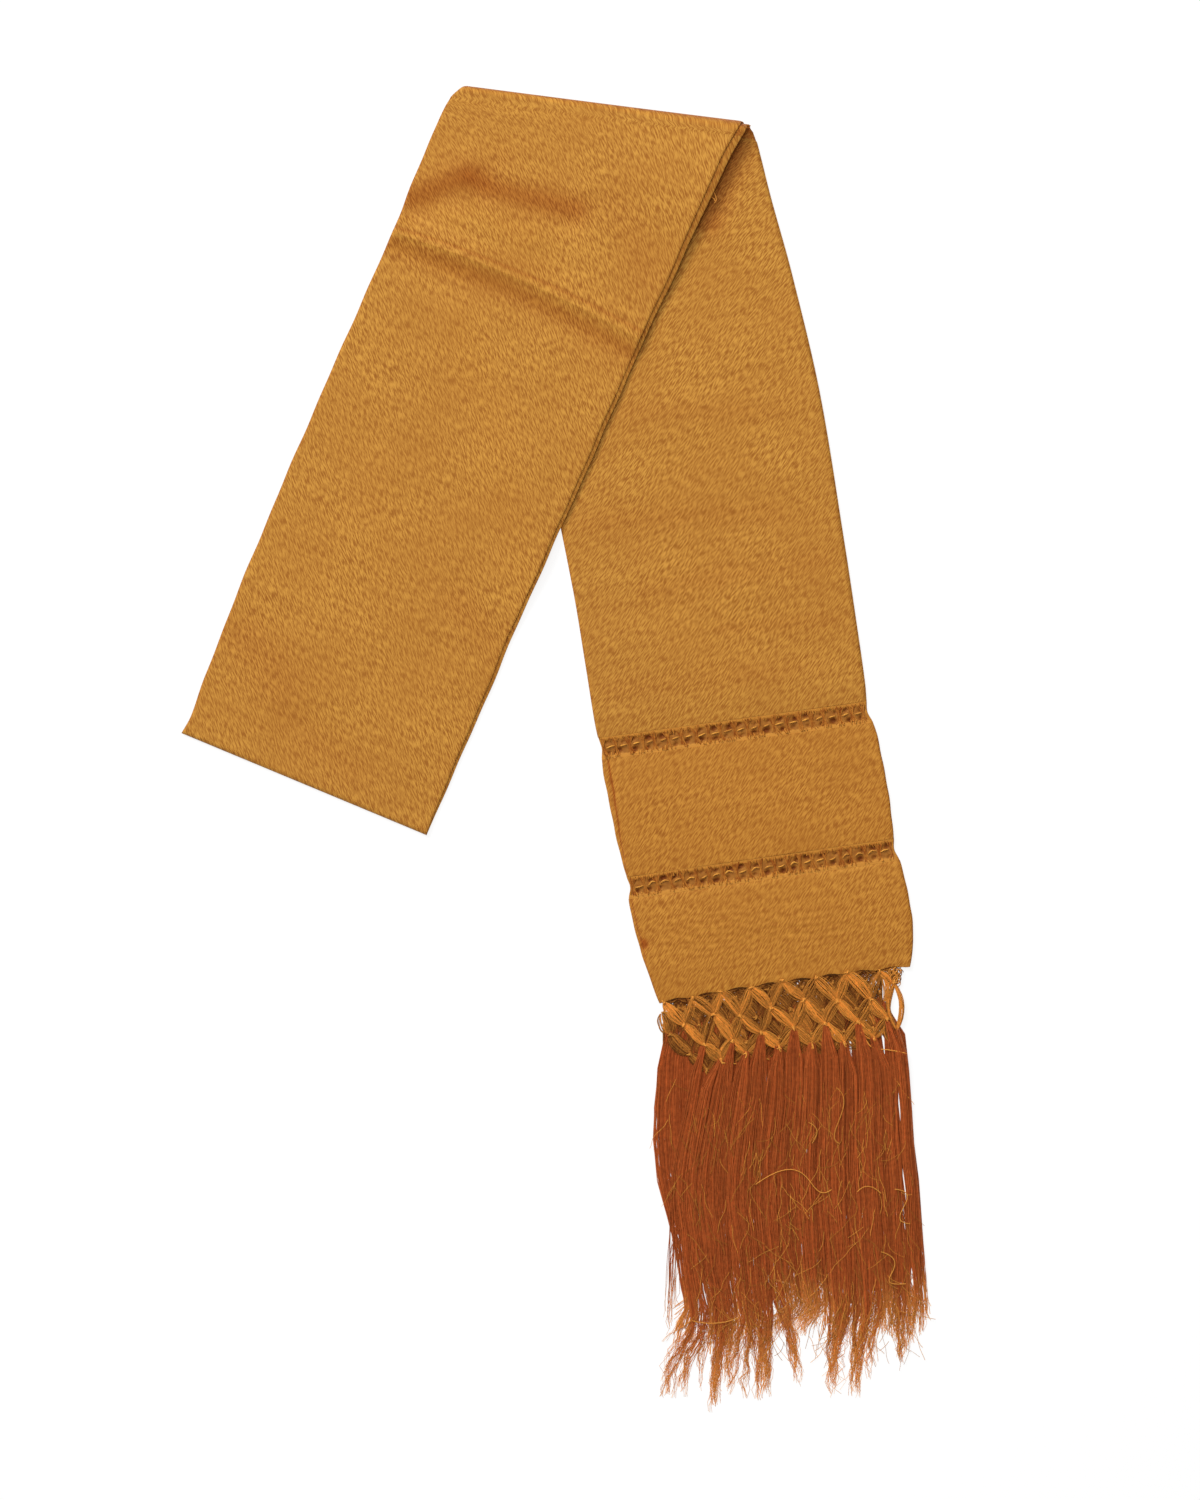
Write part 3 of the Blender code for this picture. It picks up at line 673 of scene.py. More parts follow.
def make_object(
    name: str,
    points: np.ndarray,
    faces: list,
    material: bpy.types.Material,
    uv: np.ndarray | None = None,
    strand: np.ndarray | None = None,
    sharp: float = 50.0,
) -> bpy.types.Object:
    """Make a shown mesh.

    Args:
        name: the piece's name.
        points: vertices in millimetres.
        faces: vertex numbers of each face.
        material: its finish.
        uv: place on the flat cloth of each vertex, in metres.
        strand: tone, share along a thread and chance of each vertex, or a cloth's painted shade.
        sharp: edges steeper than this are sharp, in degrees.

    Returns:
        The object, which rides on the root.
    """
    mesh = bpy.data.meshes.new(name)
    mesh.from_pydata((points.reshape(-1, 3) * MM).tolist(), [], faces)
    mesh.update()
    if uv is not None:
        corners = np.empty(len(mesh.loops), dtype=np.int32)
        mesh.loops.foreach_get("vertex_index", corners)
        layer = mesh.uv_layers.new(name=Paint.UV)
        layer.data.foreach_set("uv", uv.reshape(-1, 2)[corners].ravel().astype(np.float32))
    if strand is not None:
        colour = np.ones((len(mesh.vertices), 4), dtype=np.float32)
        colour[:, :3] = strand.reshape(-1, 3)
        layer = mesh.color_attributes.new(name=Paint.STRAND, type="FLOAT_COLOR", domain="POINT")
        layer.data.foreach_set("color", colour.ravel())
    mesh.shade_smooth()
    mesh.set_sharp_from_angle(angle=math.radians(sharp))
    mesh.materials.append(material)
    made = bpy.data.objects.new(name, mesh)
    bpy.context.scene.collection.objects.link(made)
    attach(made, "root")
    log.info("%s: %d faces", name, len(mesh.polygons))
    return made


def tube_faces(tubes: int, rings: int, around: int) -> list[list[int]]:
    """Faces of closed tubes, with a cap at each end.

    Args:
        tubes: how many there are.
        rings: of each tube.
        around: points of each ring.

    Returns:
        The vertex numbers of each face.
    """
    tube = np.arange(tubes)[:, None, None] * rings * around
    base = tube + np.arange(rings - 1)[None, :, None] * around
    k = np.arange(around)
    after = (k + 1) % around
    quads = np.stack([base + k, base + after, base + around + after, base + around + k], axis=-1)
    first = tube[:, 0] + k[::-1]
    last = tube[:, 0] + (rings - 1) * around + k
    return quads.reshape(-1, 4).tolist() + first.tolist() + last.tolist()


def make_shell(
    name: str,
    rings: list[np.ndarray],
    material: bpy.types.Material,
    paints: list[np.ndarray],
    uvs: list[np.ndarray] | None = None,
) -> bpy.types.Object:
    """Make a closed shell.

    Args:
        name: the piece's name.
        rings: the points of each ring.
        material: its finish.
        paints: the strand data of each ring.
        uvs: the places on the flat cloth of each ring.

    Returns:
        The object.
    """
    points = np.array(rings)
    faces = tube_faces(1, points.shape[0], points.shape[1])
    uv = None if uvs is None else np.array(uvs)
    return make_object(name, points, faces, material, uv=uv, strand=np.array(paints))


def thread_points(paths: np.ndarray, radius: np.ndarray, sides: int, flat: float) -> np.ndarray:
    """Points round many threads.

    Args:
        paths: centres, of shape (threads, points, 3).
        radius: of shape (threads, points), or one that broadcasts to it.
        sides: of each thread.
        flat: height over width.

    Returns:
        The vertices, of shape (threads, points, sides, 3).
    """
    along = np.gradient(paths, axis=1)
    along /= np.linalg.norm(along, axis=2, keepdims=True) + 1e-9
    up = np.broadcast_to(np.array([0.0, 0.0, 1.0]), along.shape)
    sideways = np.cross(along, up)
    sideways /= np.linalg.norm(sideways, axis=2, keepdims=True) + 1e-9
    up = np.cross(sideways, along)
    radius = np.broadcast_to(radius, paths.shape[:2])[..., None, None]
    turn = np.arange(sides) * 2 * math.pi / sides + math.pi / 2
    round_it = (
        sideways[:, :, None, :] * np.cos(turn)[None, None, :, None]
        + up[:, :, None, :] * np.sin(turn)[None, None, :, None] * flat
    )
    return paths[:, :, None, :] + round_it * radius


@dataclass
class Threads:
    """The threads of one piece, as they are laid."""

    share: np.ndarray       # where the points of each thread lie along it, from 0 to 1
    paths: list[np.ndarray] = field(default_factory=list)
    tones: list[float] = field(default_factory=list)
    radii: list[float] = field(default_factory=list)

    def lay(self, path: np.ndarray, tone: float, radius: float = 1.0) -> None:
        """Lay one thread.

        Args:
            path: its points.
            tone: how light it is.
            radius: half its width.
        """
        self.paths.append(path)
        self.tones.append(tone)
        self.radii.append(radius)

    def make(
        self,
        name: str,
        finish: "ThreadFinish",
        sides: int,
        body: np.ndarray,
        chance: np.ndarray,
        flat: float = 1.0,
    ) -> bpy.types.Object:
        """Make the piece.

        Args:
            name: its name.
            finish: its finish.
            sides: of each thread.
            body: the radius, of shape (threads, points), or one that broadcasts to it.
            chance: a number of each thread, for its tip.
            flat: height over width.

        Returns:
            The object.
        """
        paths = np.array(self.paths)
        paint = np.empty((len(paths), len(self.share), sides, 3))
        paint[..., 0] = np.array(self.tones)[:, None, None]
        paint[..., 1] = self.share[None, :, None]
        paint[..., 2] = np.asarray(chance)[:, None, None]
        points = thread_points(paths, body, sides, flat)
        faces = tube_faces(len(paths), len(self.share), sides)
        return make_object(name, points, faces, finish.material(), strand=paint)


def on_plane(x: float, down: float) -> np.ndarray:
    """X and Y of a place counted from the middle of the fold line."""
    return np.array([FOLD_MIDDLE[0] + x, FOLD_MIDDLE[1] - down])


def from_fold(x: np.ndarray, down: np.ndarray, z: np.ndarray) -> np.ndarray:
    """Points whose places are counted from the middle of the fold line."""
    return np.stack([FOLD_MIDDLE[0] + x, FOLD_MIDDLE[1] - down, z], axis=-1)


# Materials

Colour = tuple[float, float, float]
Socket = bpy.types.NodeSocket
Input = float | bpy.types.NodeSocket

WEFT_LENGTH = 0.11            # of the bands that uneven weft makes in the silk, in metres
WEFT_WIDTH = 0.004


class Graph:
    """A node tree, with short calls to add and join its nodes."""

    def __init__(self, tree: bpy.types.NodeTree) -> None:
        """Keep the tree."""
        self.tree = tree

    def node(self, kind: str, inputs: dict | None = None, **settings: object) -> bpy.types.Node:
        """Add a node.

        Args:
            kind: its type.
            inputs: a value or a socket for each named or numbered input.
            settings: the node's own settings.

        Returns:
            The node.
        """
        made = self.tree.nodes.new(kind)
        for name, value in settings.items():
            setattr(made, name, value)
        for name, value in (inputs or {}).items():
            if isinstance(value, bpy.types.NodeSocket):
                self.tree.links.new(value, made.inputs[name])
            else:
                made.inputs[name].default_value = value
        return made

    def math(self, operation: str, first: Input, second: Input = 0.0, clamp: bool = False) -> Socket:
        """The result of a Math node.

        Args:
            operation: what it does.
            first: a value or a socket.
            second: the same.
            clamp: whether the result is kept between 0 and 1.

        Returns:
            Its output.
        """
        made = self.node(
            "ShaderNodeMath", {0: first, 1: second}, operation=operation, use_clamp=clamp
        )
        return made.outputs[0]

    def swing(self, value: Input, amount: float) -> Socket:
        """A value from 0 to 1, turned into one that swings about 0 by an amount."""
        return self.math("MULTIPLY", self.math("SUBTRACT", value, 0.5), amount)

    def noise(self, place: Socket, scale: Input, detail: float, dimensions: str = "2D") -> Socket:
        """The value of a Noise Texture node.

        Args:
            place: where it is read.
            scale: a value or a socket.
            detail: how many finer layers it has.
            dimensions: "2D" or "3D".

        Returns:
            Its output.
        """
        made = self.node(
            "ShaderNodeTexNoise",
            {"Vector": place, "Scale": scale, "Detail": detail},
            noise_dimensions=dimensions,
        )
        return made.outputs[0]

    def mix(self, share: Input, first: Colour | Socket, second: Colour | Socket) -> Socket:
        """A colour between two colours.

        Args:
            share: how much of the second it has.
            first: a colour or a socket.
            second: the same.

        Returns:
            Its output.
        """
        made = self.node("ShaderNodeMix", {0: share}, data_type="RGBA")
        for k, value in ((6, first), (7, second)):
            if isinstance(value, bpy.types.NodeSocket):
                self.tree.links.new(value, made.inputs[k])
            else:
                made.inputs[k].default_value = (*value, 1.0)
        return made.outputs[2]


def start_group(
    name: str, inputs: dict[str, tuple[str, float | None]], outputs: tuple[str, ...]
) -> tuple[bpy.types.NodeTree, Graph, bpy.types.Node, bpy.types.Node]:
    """Begin a shared group of shader nodes.

    Args:
        name: the group's name.
        inputs: socket type and value of each named input.
        outputs: names of its outputs, all numbers.

    Returns:
        The group, its graph, and its input and output nodes.
    """
    group = bpy.data.node_groups.new(name, "ShaderNodeTree")
    for label, (kind, value) in inputs.items():
        socket = group.interface.new_socket(name=label, in_out="INPUT", socket_type=kind)
        if value is not None:
            socket.default_value = value
    for label in outputs:
        group.interface.new_socket(name=label, in_out="OUTPUT", socket_type="NodeSocketFloat")
    graph = Graph(group)
    return group, graph, graph.node("NodeGroupInput"), graph.node("NodeGroupOutput")


def weave_group() -> bpy.types.NodeTree:
    """Short slanting floats of thread, for a silk cloth.

    Returns:
        The group "Slanting weave": Vector, Angle, Thread and Float in; Shade and Height out.
    """
    name = "Slanting weave"
    if name in bpy.data.node_groups:
        return bpy.data.node_groups[name]
    group, g, inside, out = start_group(
        name,
        {
            "Vector": ("NodeSocketVector", None),
            "Angle": ("NodeSocketFloat", 0.8),
            "Thread": ("NodeSocketFloat", 0.0012),
            "Float": ("NodeSocketFloat", 0.007),
        },
        ("Shade", "Height"),
    )
    turned = g.node(
        "ShaderNodeVectorRotate",
        {"Vector": inside.outputs["Vector"], "Angle": inside.outputs["Angle"]},
        rotation_type="Z_AXIS",
    )
    parts = g.node("ShaderNodeSeparateXYZ", {0: turned.outputs[0]})
    x = g.math("DIVIDE", parts.outputs[0], inside.outputs["Thread"])
    y = g.math("DIVIDE", parts.outputs[1], inside.outputs["Float"])
    place = g.node("ShaderNodeCombineXYZ", {0: x, 1: y}).outputs[0]
    flat = g.node("ShaderNodeSeparateXYZ", {0: inside.outputs["Vector"]})
    x = g.math("DIVIDE", flat.outputs[0], WEFT_LENGTH)
    y = g.math("DIVIDE", flat.outputs[1], WEFT_WIDTH)
    weft = g.node("ShaderNodeCombineXYZ", {0: x, 1: y}).outputs[0]
    fine = g.swing(g.noise(place, 1.0, 1.0), 2.9)
    broad = g.swing(g.noise(place, 0.43, 1.0), 0.4)
    bands = g.swing(g.noise(weft, 1.0, 2.0), 0.45)
    spread = g.math("ADD", fine, broad)
    shade = g.math("ADD", g.math("ADD", spread, bands), 0.5, clamp=True)
    g.tree.links.new(shade, out.inputs["Shade"])
    g.tree.links.new(spread, out.inputs["Height"])
    return group


def mottle_group() -> bpy.types.NodeTree:
    """Broad uneven patches.

    Returns:
        The group "Soft patches": Vector and Size in; Shade out.
    """
    name = "Soft patches"
    if name in bpy.data.node_groups:
        return bpy.data.node_groups[name]
    group, g, inside, out = start_group(
        name,
        {"Vector": ("NodeSocketVector", None), "Size": ("NodeSocketFloat", 0.05)},
        ("Shade",),
    )
    scale = g.math("DIVIDE", 1.0, inside.outputs["Size"])
    spread = g.swing(g.noise(inside.outputs["Vector"], scale, 3.0), 2.2)
    g.tree.links.new(g.math("ADD", spread, 0.5, clamp=True), out.inputs["Shade"])
    return group


def start_material(name: str) -> tuple[bpy.types.Material, Graph, bpy.types.Node]:
    """Begin a material.

    Args:
        name: its name.

    Returns:
        The material, its graph and its Principled shader.
    """
    material = bpy.data.materials.new(name)
    material.use_nodes = True
    shader = material.node_tree.nodes["Principled BSDF"]
    return material, Graph(material.node_tree), shader


@dataclass(frozen=True)
class Lustre:
    """How a silk shines: its gloss, its fine bumps and its sheen."""

    roughness: float
    gloss: float                # how much smoother it is where it is light
    bump: float
    bump_depth: float           # in metres
    sheen: float
    sheen_roughness: float
    sheen_tint: Colour
    specular: float
    specular_tint: Colour

    def dress(
        self, g: Graph, shader: bpy.types.Node, colour: Socket, level: Socket, height: Socket
    ) -> None:
        """Join a colour and this lustre to a shader.

        Args:
            g: the material's graph.
            shader: its Principled shader.
            colour: its colour.
            level: how light it is, from 0 to 1.
            height: its fine bumps.
        """
        gloss = g.math("MULTIPLY_ADD", level, -self.gloss)
        gloss.node.inputs[2].default_value = self.roughness
        bump = g.node(
            "ShaderNodeBump", {"Strength": self.bump, "Distance": self.bump_depth, "Height": height}
        )
        g.tree.links.new(colour, shader.inputs["Base Color"])
        g.tree.links.new(gloss, shader.inputs["Roughness"])
        g.tree.links.new(bump.outputs[0], shader.inputs["Normal"])
        shader.inputs["Sheen Weight"].default_value = self.sheen
        shader.inputs["Sheen Roughness"].default_value = self.sheen_roughness
        shader.inputs["Sheen Tint"].default_value = (*self.sheen_tint, 1.0)
        shader.inputs["Specular IOR Level"].default_value = self.specular
        shader.inputs["Specular Tint"].default_value = (*self.specular_tint, 1.0)


CLOTH_LUSTRE = Lustre(
    roughness=0.62,
    gloss=0.12,
    bump=0.6,
    bump_depth=0.000016,
    sheen=0.12,
    sheen_roughness=0.45,
    sheen_tint=(1.0, 0.78, 0.45),
    specular=0.35,
    specular_tint=(1.0, 0.72, 0.25),
)
THREAD_LUSTRE = Lustre(
    roughness=0.6,
    gloss=0.15,
    bump=0.4,
    bump_depth=0.0001,
    sheen=0.1,
    sheen_roughness=0.4,
    sheen_tint=(1.0, 0.6, 0.25),
    specular=0.5,
    specular_tint=(1.0, 0.6, 0.2),
)


@dataclass(frozen=True)
class SilkFinish:
    """Satin silk with a fine slanting weave, and painted shade and painted highlight from the strand
    data.
    """

    name: str
    dark: Colour
    light: Colour
    patch: Colour
    patch_size: float = 0.055   # in metres
    patch_share: float = 0.45
    weave_angle: float = 43.0
    thread: float = 0.00085
    float_length: float = 0.0054
    # The first colour below multiplies the cloth where it has painted shade, the second where it has
    # painted highlight.
    deep: Colour = (0.72, 0.42, 0.32)
    bright: Colour = (1.18, 1.2, 1.16)

    def material(self) -> bpy.types.Material:
        """Build the finish.

        Returns:
            The material.
        """
        material, g, shader = start_material(self.name)
        cloth = g.node("ShaderNodeUVMap", uv_map=Paint.UV).outputs[0]
        angle = math.radians(self.weave_angle)
        weave = g.node(
            "ShaderNodeGroup",
            {"Vector": cloth, "Angle": angle, "Thread": self.thread, "Float": self.float_length},
            node_tree=weave_group(),
        )
        patches = g.node(
            "ShaderNodeGroup", {"Vector": cloth, "Size": self.patch_size}, node_tree=mottle_group()
        )
        level = weave.outputs["Shade"]
        share = g.math("MULTIPLY", patches.outputs["Shade"], self.patch_share)
        colour = g.mix(share, g.mix(level, self.dark, self.light), self.patch)
        # The cloth's colour multiplied by its painted shade and painted highlight.
        with_painted_shading = g.node("ShaderNodeMix", {0: 1.0}, data_type="RGBA", blend_type="MULTIPLY")
        g.tree.links.new(colour, with_painted_shading.inputs[6])
        g.tree.links.new(self.wash(g), with_painted_shading.inputs[7])
        CLOTH_LUSTRE.dress(g, shader, with_painted_shading.outputs[2], level, weave.outputs["Height"])
        return material

    def wash(self, g: Graph) -> Socket:
        """The painted shade and painted highlight of the strand data, as a colour to multiply by.

        Args:
            g: the material's graph.

        Returns:
            White at a level of a half, painted shade above it and painted highlight below it.
        """
        data = g.node("ShaderNodeAttribute", attribute_name=Paint.STRAND)
        level = g.node("ShaderNodeSeparateColor", {0: data.outputs["Color"]}).outputs[0]
        # One share for painted shade above a level of a half, one for painted highlight below it.
        depth = g.math("MULTIPLY", g.math("SUBTRACT", level, 0.5), 2.0, clamp=True)
        lift = g.math("MULTIPLY", g.math("SUBTRACT", 0.5, level), 2.0, clamp=True)
        return g.mix(lift, g.mix(depth, (1.0, 1.0, 1.0), self.deep), self.bright)


@dataclass(frozen=True)
class ThreadFinish:
    """Loose silk thread, whose colour follows the strand data."""

    name: str
    dark: Colour
    light: Colour
    tip: Colour | None = None       # None where the tip has no colour of its own
    tip_from: float = 0.82          # the share along the thread where its tip colour begins
    tip_length: float = 0.1801      # and over how much of it that colour grows
    speckle: float = 400.0
    fleck: float = 0.7              # how much its tone changes from speck to speck

    def material(self) -> bpy.types.Material:
        """Build the finish.

        Returns:
            The material.
        """
        material, g, shader = start_material(self.name)
        data = g.node("ShaderNodeAttribute", attribute_name=Paint.STRAND)
        parts = g.node("ShaderNodeSeparateColor", {0: data.outputs["Color"]})
        tone, share, chance = parts.outputs[0], parts.outputs[1], parts.outputs[2]
        place = g.node("ShaderNodeTexCoord").outputs["Object"]
        noise = g.noise(place, self.speckle, 2.0, "3D")
        level = g.math("ADD", tone, g.swing(noise, self.fleck), clamp=True)
        colour = g.mix(level, self.dark, self.light)
        if self.tip is not None:
            past = g.math("SUBTRACT", share, self.tip_from)
            toward = g.math("MAXIMUM", g.math("DIVIDE", past, self.tip_length), 0.0)
            colour = g.mix(g.math("MULTIPLY", toward, chance, clamp=True), colour, self.tip)
        THREAD_LUSTRE.dress(g, shader, colour, level, noise)
        return material


GOLD_SILK = SilkFinish(
    name="gold_silk",
    dark=(0.31, 0.102, 0.0145),
    light=(0.60, 0.283, 0.048),
    patch=(0.40, 0.150, 0.022),
)
BAND_SILK = SilkFinish(
    name="band_silk",
    dark=(0.32, 0.100, 0.013),
    light=(0.59, 0.256, 0.040),
    patch=(0.41, 0.148, 0.020),
)
OPENWORK_GROUND = ThreadFinish("openwork_ground", dark=(0.15, 0.030, 0.006), light=(0.52, 0.214, 0.032))
OPENWORK_FLOSS = ThreadFinish("openwork_floss", dark=(0.27, 0.066, 0.010), light=(0.90, 0.42, 0.070))
NET_FLOSS = ThreadFinish(
    name="net_floss",
    dark=(0.10, 0.020, 0.005),
    light=(0.91, 0.395, 0.070),
    speckle=900.0,
)
FRINGE_THREAD = ThreadFinish(
    name="fringe_thread",
    dark=(0.24, 0.046, 0.012),
    light=(0.70, 0.182, 0.045),
    tip=(0.97, 0.49, 0.115),
)


# The cloth


def level_paint(level: np.ndarray) -> np.ndarray:
    """Strand data that holds only a level."""
    return np.stack([level, np.zeros_like(level), np.zeros_like(level)], axis=-1)


def painted_shade_data(tint: np.ndarray) -> np.ndarray:
    """The strand data of a cloth's painted shade: a quarter of it over a half, so that painted shade
    and painted highlight both fit.
    """
    return level_paint(np.clip(0.5 + 0.25 * tint, 0, 1))


@dataclass
class FoldedBand:
    """The one shell of the upper arm, the turn and the lower arm."""

    layout: Layout = field(default_factory=lambda: Profile().points())
    settle: float = 36.0        # how slowly the relief begins below the turn
    nose_length: float = 3.2    # of the rounded lower end
    nose_lift: float = 0.42     # how high the lower end's rounding lies, as a share
    upper_lip: float = 6.0      # at the turn
    lower_lip: float = 0.6
    upper_strip: float = 2.4    # how much further the cloth runs round the turn than straight on
    lower_strip: float = 2.2
    rings: list[np.ndarray] = field(default_factory=list)
    uvs: list[np.ndarray] = field(default_factory=list)
    tints: list[np.ndarray] = field(default_factory=list)

    def add(
        self,
        plane: tuple[np.ndarray, np.ndarray],
        z: np.ndarray,
        across: np.ndarray,
        strip: float,
        tint: np.ndarray,
    ) -> None:
        """Add one ring.

        Args:
            plane: X and Y of its points.
            z: their heights.
            across: their places across the flat cloth.
            strip: its place along the flat cloth.
            tint: the painted shade of its points, and painted highlight where below 0.
        """
        self.rings.append(np.stack([*plane, z], axis=-1))
        self.tints.append(painted_shade_data(tint + self.layout["shade"]))
        self.uvs.append(np.stack([across * MM, np.full_like(across, strip * MM)], axis=-1))

    def settled(self, relief: Relief, at: Places) -> np.ndarray:
        """The height of a relief that begins below the turn."""
        return relief.height(at) * ease((at.along - SEAM_DISTANCE) / self.settle)

    def upper_ring(self, along: float, nose: float = 1.0) -> None:
        """Add a ring of the upper arm.

        Args:
            along: distance from the fold line.
            nose: the share of its thickness, less than 1 at its rounded lower end.
        """
        wobble = edge_wobble(along, 0.35, 9.0, 31.0, 1.0)
        wobble *= min(1.0, (along - SEAM_DISTANCE) / 40.0)
        at = UPPER.ring(self.layout, along, wobble)
        height = self.layout["height"]
        thick = (BAND_THICKNESS + self.settled(UPPER_RELIEF, at)) * nose
        lift = BAND_THICKNESS * (1 - nose) * self.nose_lift
        z = upper_floor(at.along, at.across) + lift + height * thick
        # Painted shade and highlight of the relief, on the outer face only.
        tint = UPPER_RELIEF.tint(at) * height
        self.add(UPPER.place(at.along, at.across), z, at.across, along + self.upper_strip, tint)

    def turn_left(self, upper: bool, down: np.ndarray) -> np.ndarray:
        """Where the turn's left end lies along the fold line, with its corner cut."""
        cut = CORNER_CUT * np.clip(1 - down / CORNER_REACH, 0, 1)
        return -HALF_FOLD + cut + (-0.389 if upper else 0.379) * down

    def turn_right(self, upper: bool, down: np.ndarray) -> np.ndarray:
        """Where the turn's right end lies along the fold line.

        Args:
            upper: whether it is the upper side's.
            down: distances down from the fold line.

        Returns:
            Distances from the middle of the fold line.
        """
        if upper:
            return HALF_FOLD - 0.416 * down
        past = np.maximum(0.0, down - MOUTH_KNEE)
        reach = 1.29 * np.minimum(down, MOUTH_KNEE) + 0.528 * past
        return HALF_FOLD + reach

    def turn_ring(self, angle: float, straight: float) -> None:
        """Add a ring of the turn.

        Args:
            angle: from 90 degrees on the upper side to -90 on the lower one.
            straight: from 0 where the arc ends to 1 where the arm begins.
        """
        share, height = self.layout["share"], self.layout["height"]
        gap = FOLD_GAP + mouth_rise(share)
        radius = (2 * BAND_THICKNESS + gap) / 2
        bend = BAND_THICKNESS + np.minimum(gap / 2, 3.0)
        sine, cosine = math.sin(math.radians(angle)), math.cos(math.radians(angle))
        outer_down = radius * (1 - cosine)
        inner_down = bend - (bend - BAND_THICKNESS) * cosine
        outer_down = outer_down + (SEAM_DISTANCE - outer_down) * straight
        inner_down = inner_down + (SEAM_DISTANCE - inner_down) * straight
        outer_z = radius + radius * sine
        inner_z = BAND_THICKNESS + gap / 2 + gap / 2 * sine
        down = inner_down + height * (outer_down - inner_down)
        z = inner_z + height * (outer_z - inner_z)
        upper = angle > 0
        left, right = self.turn_left(upper, down), self.turn_right(upper, down)
        lip = self.upper_lip * (0.5 + 0.5 * sine) + self.lower_lip * (0.5 - 0.5 * sine)
        along_fold = ring_across(self.layout, left, right, lip)
        slope = math.radians(FOLD_SLOPE)
        x = FOLD_MIDDLE[0] + math.cos(slope) * along_fold + math.sin(slope) * down
        y = FOLD_MIDDLE[1] + math.sin(slope) * along_fold - math.cos(slope) * down
        strip = 7.5 * sine + (7.0 if upper else -7.0) * straight
        # Painted shade: a dark line along the turn's edge, and on the inside of its mouth. Painted
        # highlight: a bright line on the roll.
        rim_painted_shade = 1.7 * math.exp(-((angle - 22.0) / 20.0) ** 2)
        rim_painted_highlight = 1.1 * math.exp(-((angle - 68.0) / 13.0) ** 2)
        tint = (rim_painted_shade - rim_painted_highlight) * height + 1.6 * (1 - height) * share ** 4
        self.add((x, y), z, along_fold, strip, tint)

    def lower_ring(self, along: float) -> None:
        """Add a ring of the lower arm, whose outer face lies on the surface.

        Args:
            along: distance from the fold line.
        """
        at = LOWER.ring(self.layout, along, peeks=False)
        thick = lower_thickness(at.along) + self.settled(LOWER_RELIEF, at)
        z = (1 - self.layout["height"]) * thick
        strip = -along - self.lower_strip
        # The lower arm's painted shade and highlight, from its relief.
        self.add(LOWER.place(at.along, at.across), z, at.across, strip, LOWER_RELIEF.tint(at))

    def build(self) -> bpy.types.Object:
        """Build the shell from the upper arm's lower end to the first row of openwork.

        Returns:
            The object.
        """
        last = UPPER_SECTIONS[-1].along - self.nose_length
        for turn in np.radians(np.linspace(90, 8, 7)):
            self.upper_ring(last + self.nose_length * math.sin(turn), max(0.12, math.cos(turn)))
        first = SEAM_DISTANCE / UPPER_SHORTENING
        rows = np.concatenate([
            np.arange(last - 1.2, 165.5, -2.9),
            np.arange(164.0, 126.0, -0.9),
            np.arange(124.5, first + 1.5, -2.4),
            [first],
        ])
        for along in rows:
            self.upper_ring(float(along))
        for straight in (0.66, 0.33):
            self.turn_ring(90.0, straight)
        for angle in np.linspace(90.0, -90.0, 21):
            self.turn_ring(float(angle), 0.0)
        for straight in (0.33, 0.66):
            self.turn_ring(-90.0, straight)
        first = SEAM_DISTANCE / LOWER_SHORTENING
        for along in np.append(np.arange(first, ROW_1_START - 1.5, 2.7), ROW_1_START - 0.5):
            self.lower_ring(float(along))
        self.lower_ring(ROW_1_START - SEAM_GAP / 2)
        shell = make_shell("folded_band", self.rings, GOLD_SILK.material(), self.tints, self.uvs)
        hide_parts("upper_stretch", "top_turn", "lower_stretch")
        return shell


@dataclass
class PlainBand:
    """A plain piece of the lower arm, between two seams."""

    name: str
    node: str
    start: float
    end: float
    scallop: float = 0.0
    bow: float = 0.0
    layout: Layout = field(default_factory=lambda: Profile(columns=100).points())
    end_reach: float = 26.0     # how far from its end the cloth is drawn down
    knots_apart: float = 22.5

    def build(self) -> bpy.types.Object:
        """Build the shell.

        Returns:
            The object.
        """
        rows = np.concatenate([
            [self.start, self.start + 0.5],
            np.arange(self.start + 1.6, self.end - 1.4, 1.5),
            [self.end - 0.5, self.end],
        ])
        rings, uvs, tints = [], [], []
        for along in rows:
            ring = LOWER.ring(self.layout, along, edge_wobble(along, 0.3, 5.0, 13.0, 2.0))
            where = self.drawn_down(ring)
            at = Places(where, ring.across, ring.side)
            x, y = LOWER.place(where, at.across)
            thick = lower_thickness(where) + BAND_RELIEF.height(at)
            to_end = min(along - self.start, self.end - along)
            nose = 1.0 if self.bow == 0 else 0.86 + 0.14 * min(1.0, to_end / 1.6)
            rings.append(np.stack([x, y, self.layout["height"] * thick * nose], axis=-1))
            uvs.append(np.stack([at.across * MM, -where * MM], axis=-1))
            # Painted shade and highlight from the relief and the layered edges.
            tints.append(painted_shade_data(BAND_RELIEF.tint(at) + self.layout["shade"]))
        shell = make_shell(self.name, rings, BAND_SILK.material(), tints, uvs)
        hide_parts(self.node)
        return shell

    def drawn_down(self, ring: Places) -> np.ndarray:
        """Where a ring lies once the knots of the net draw the cloth down, in a bow with scallops.

        Args:
            ring: the ring's places.

        Returns:
            Distances from the fold line.
        """
        near_end = ease((ring.along - (self.end - self.end_reach)) / self.end_reach)
        scallops = np.cos(2 * math.pi * ring.across / self.knots_apart) - 0.6
        right = LOWER.curve.row(ring.along[0], "right")[0]
        where = ring.along + self.scallop * near_end * scallops
        return where + self.bow * near_end * (0.8 + (ring.across / right) ** 2)


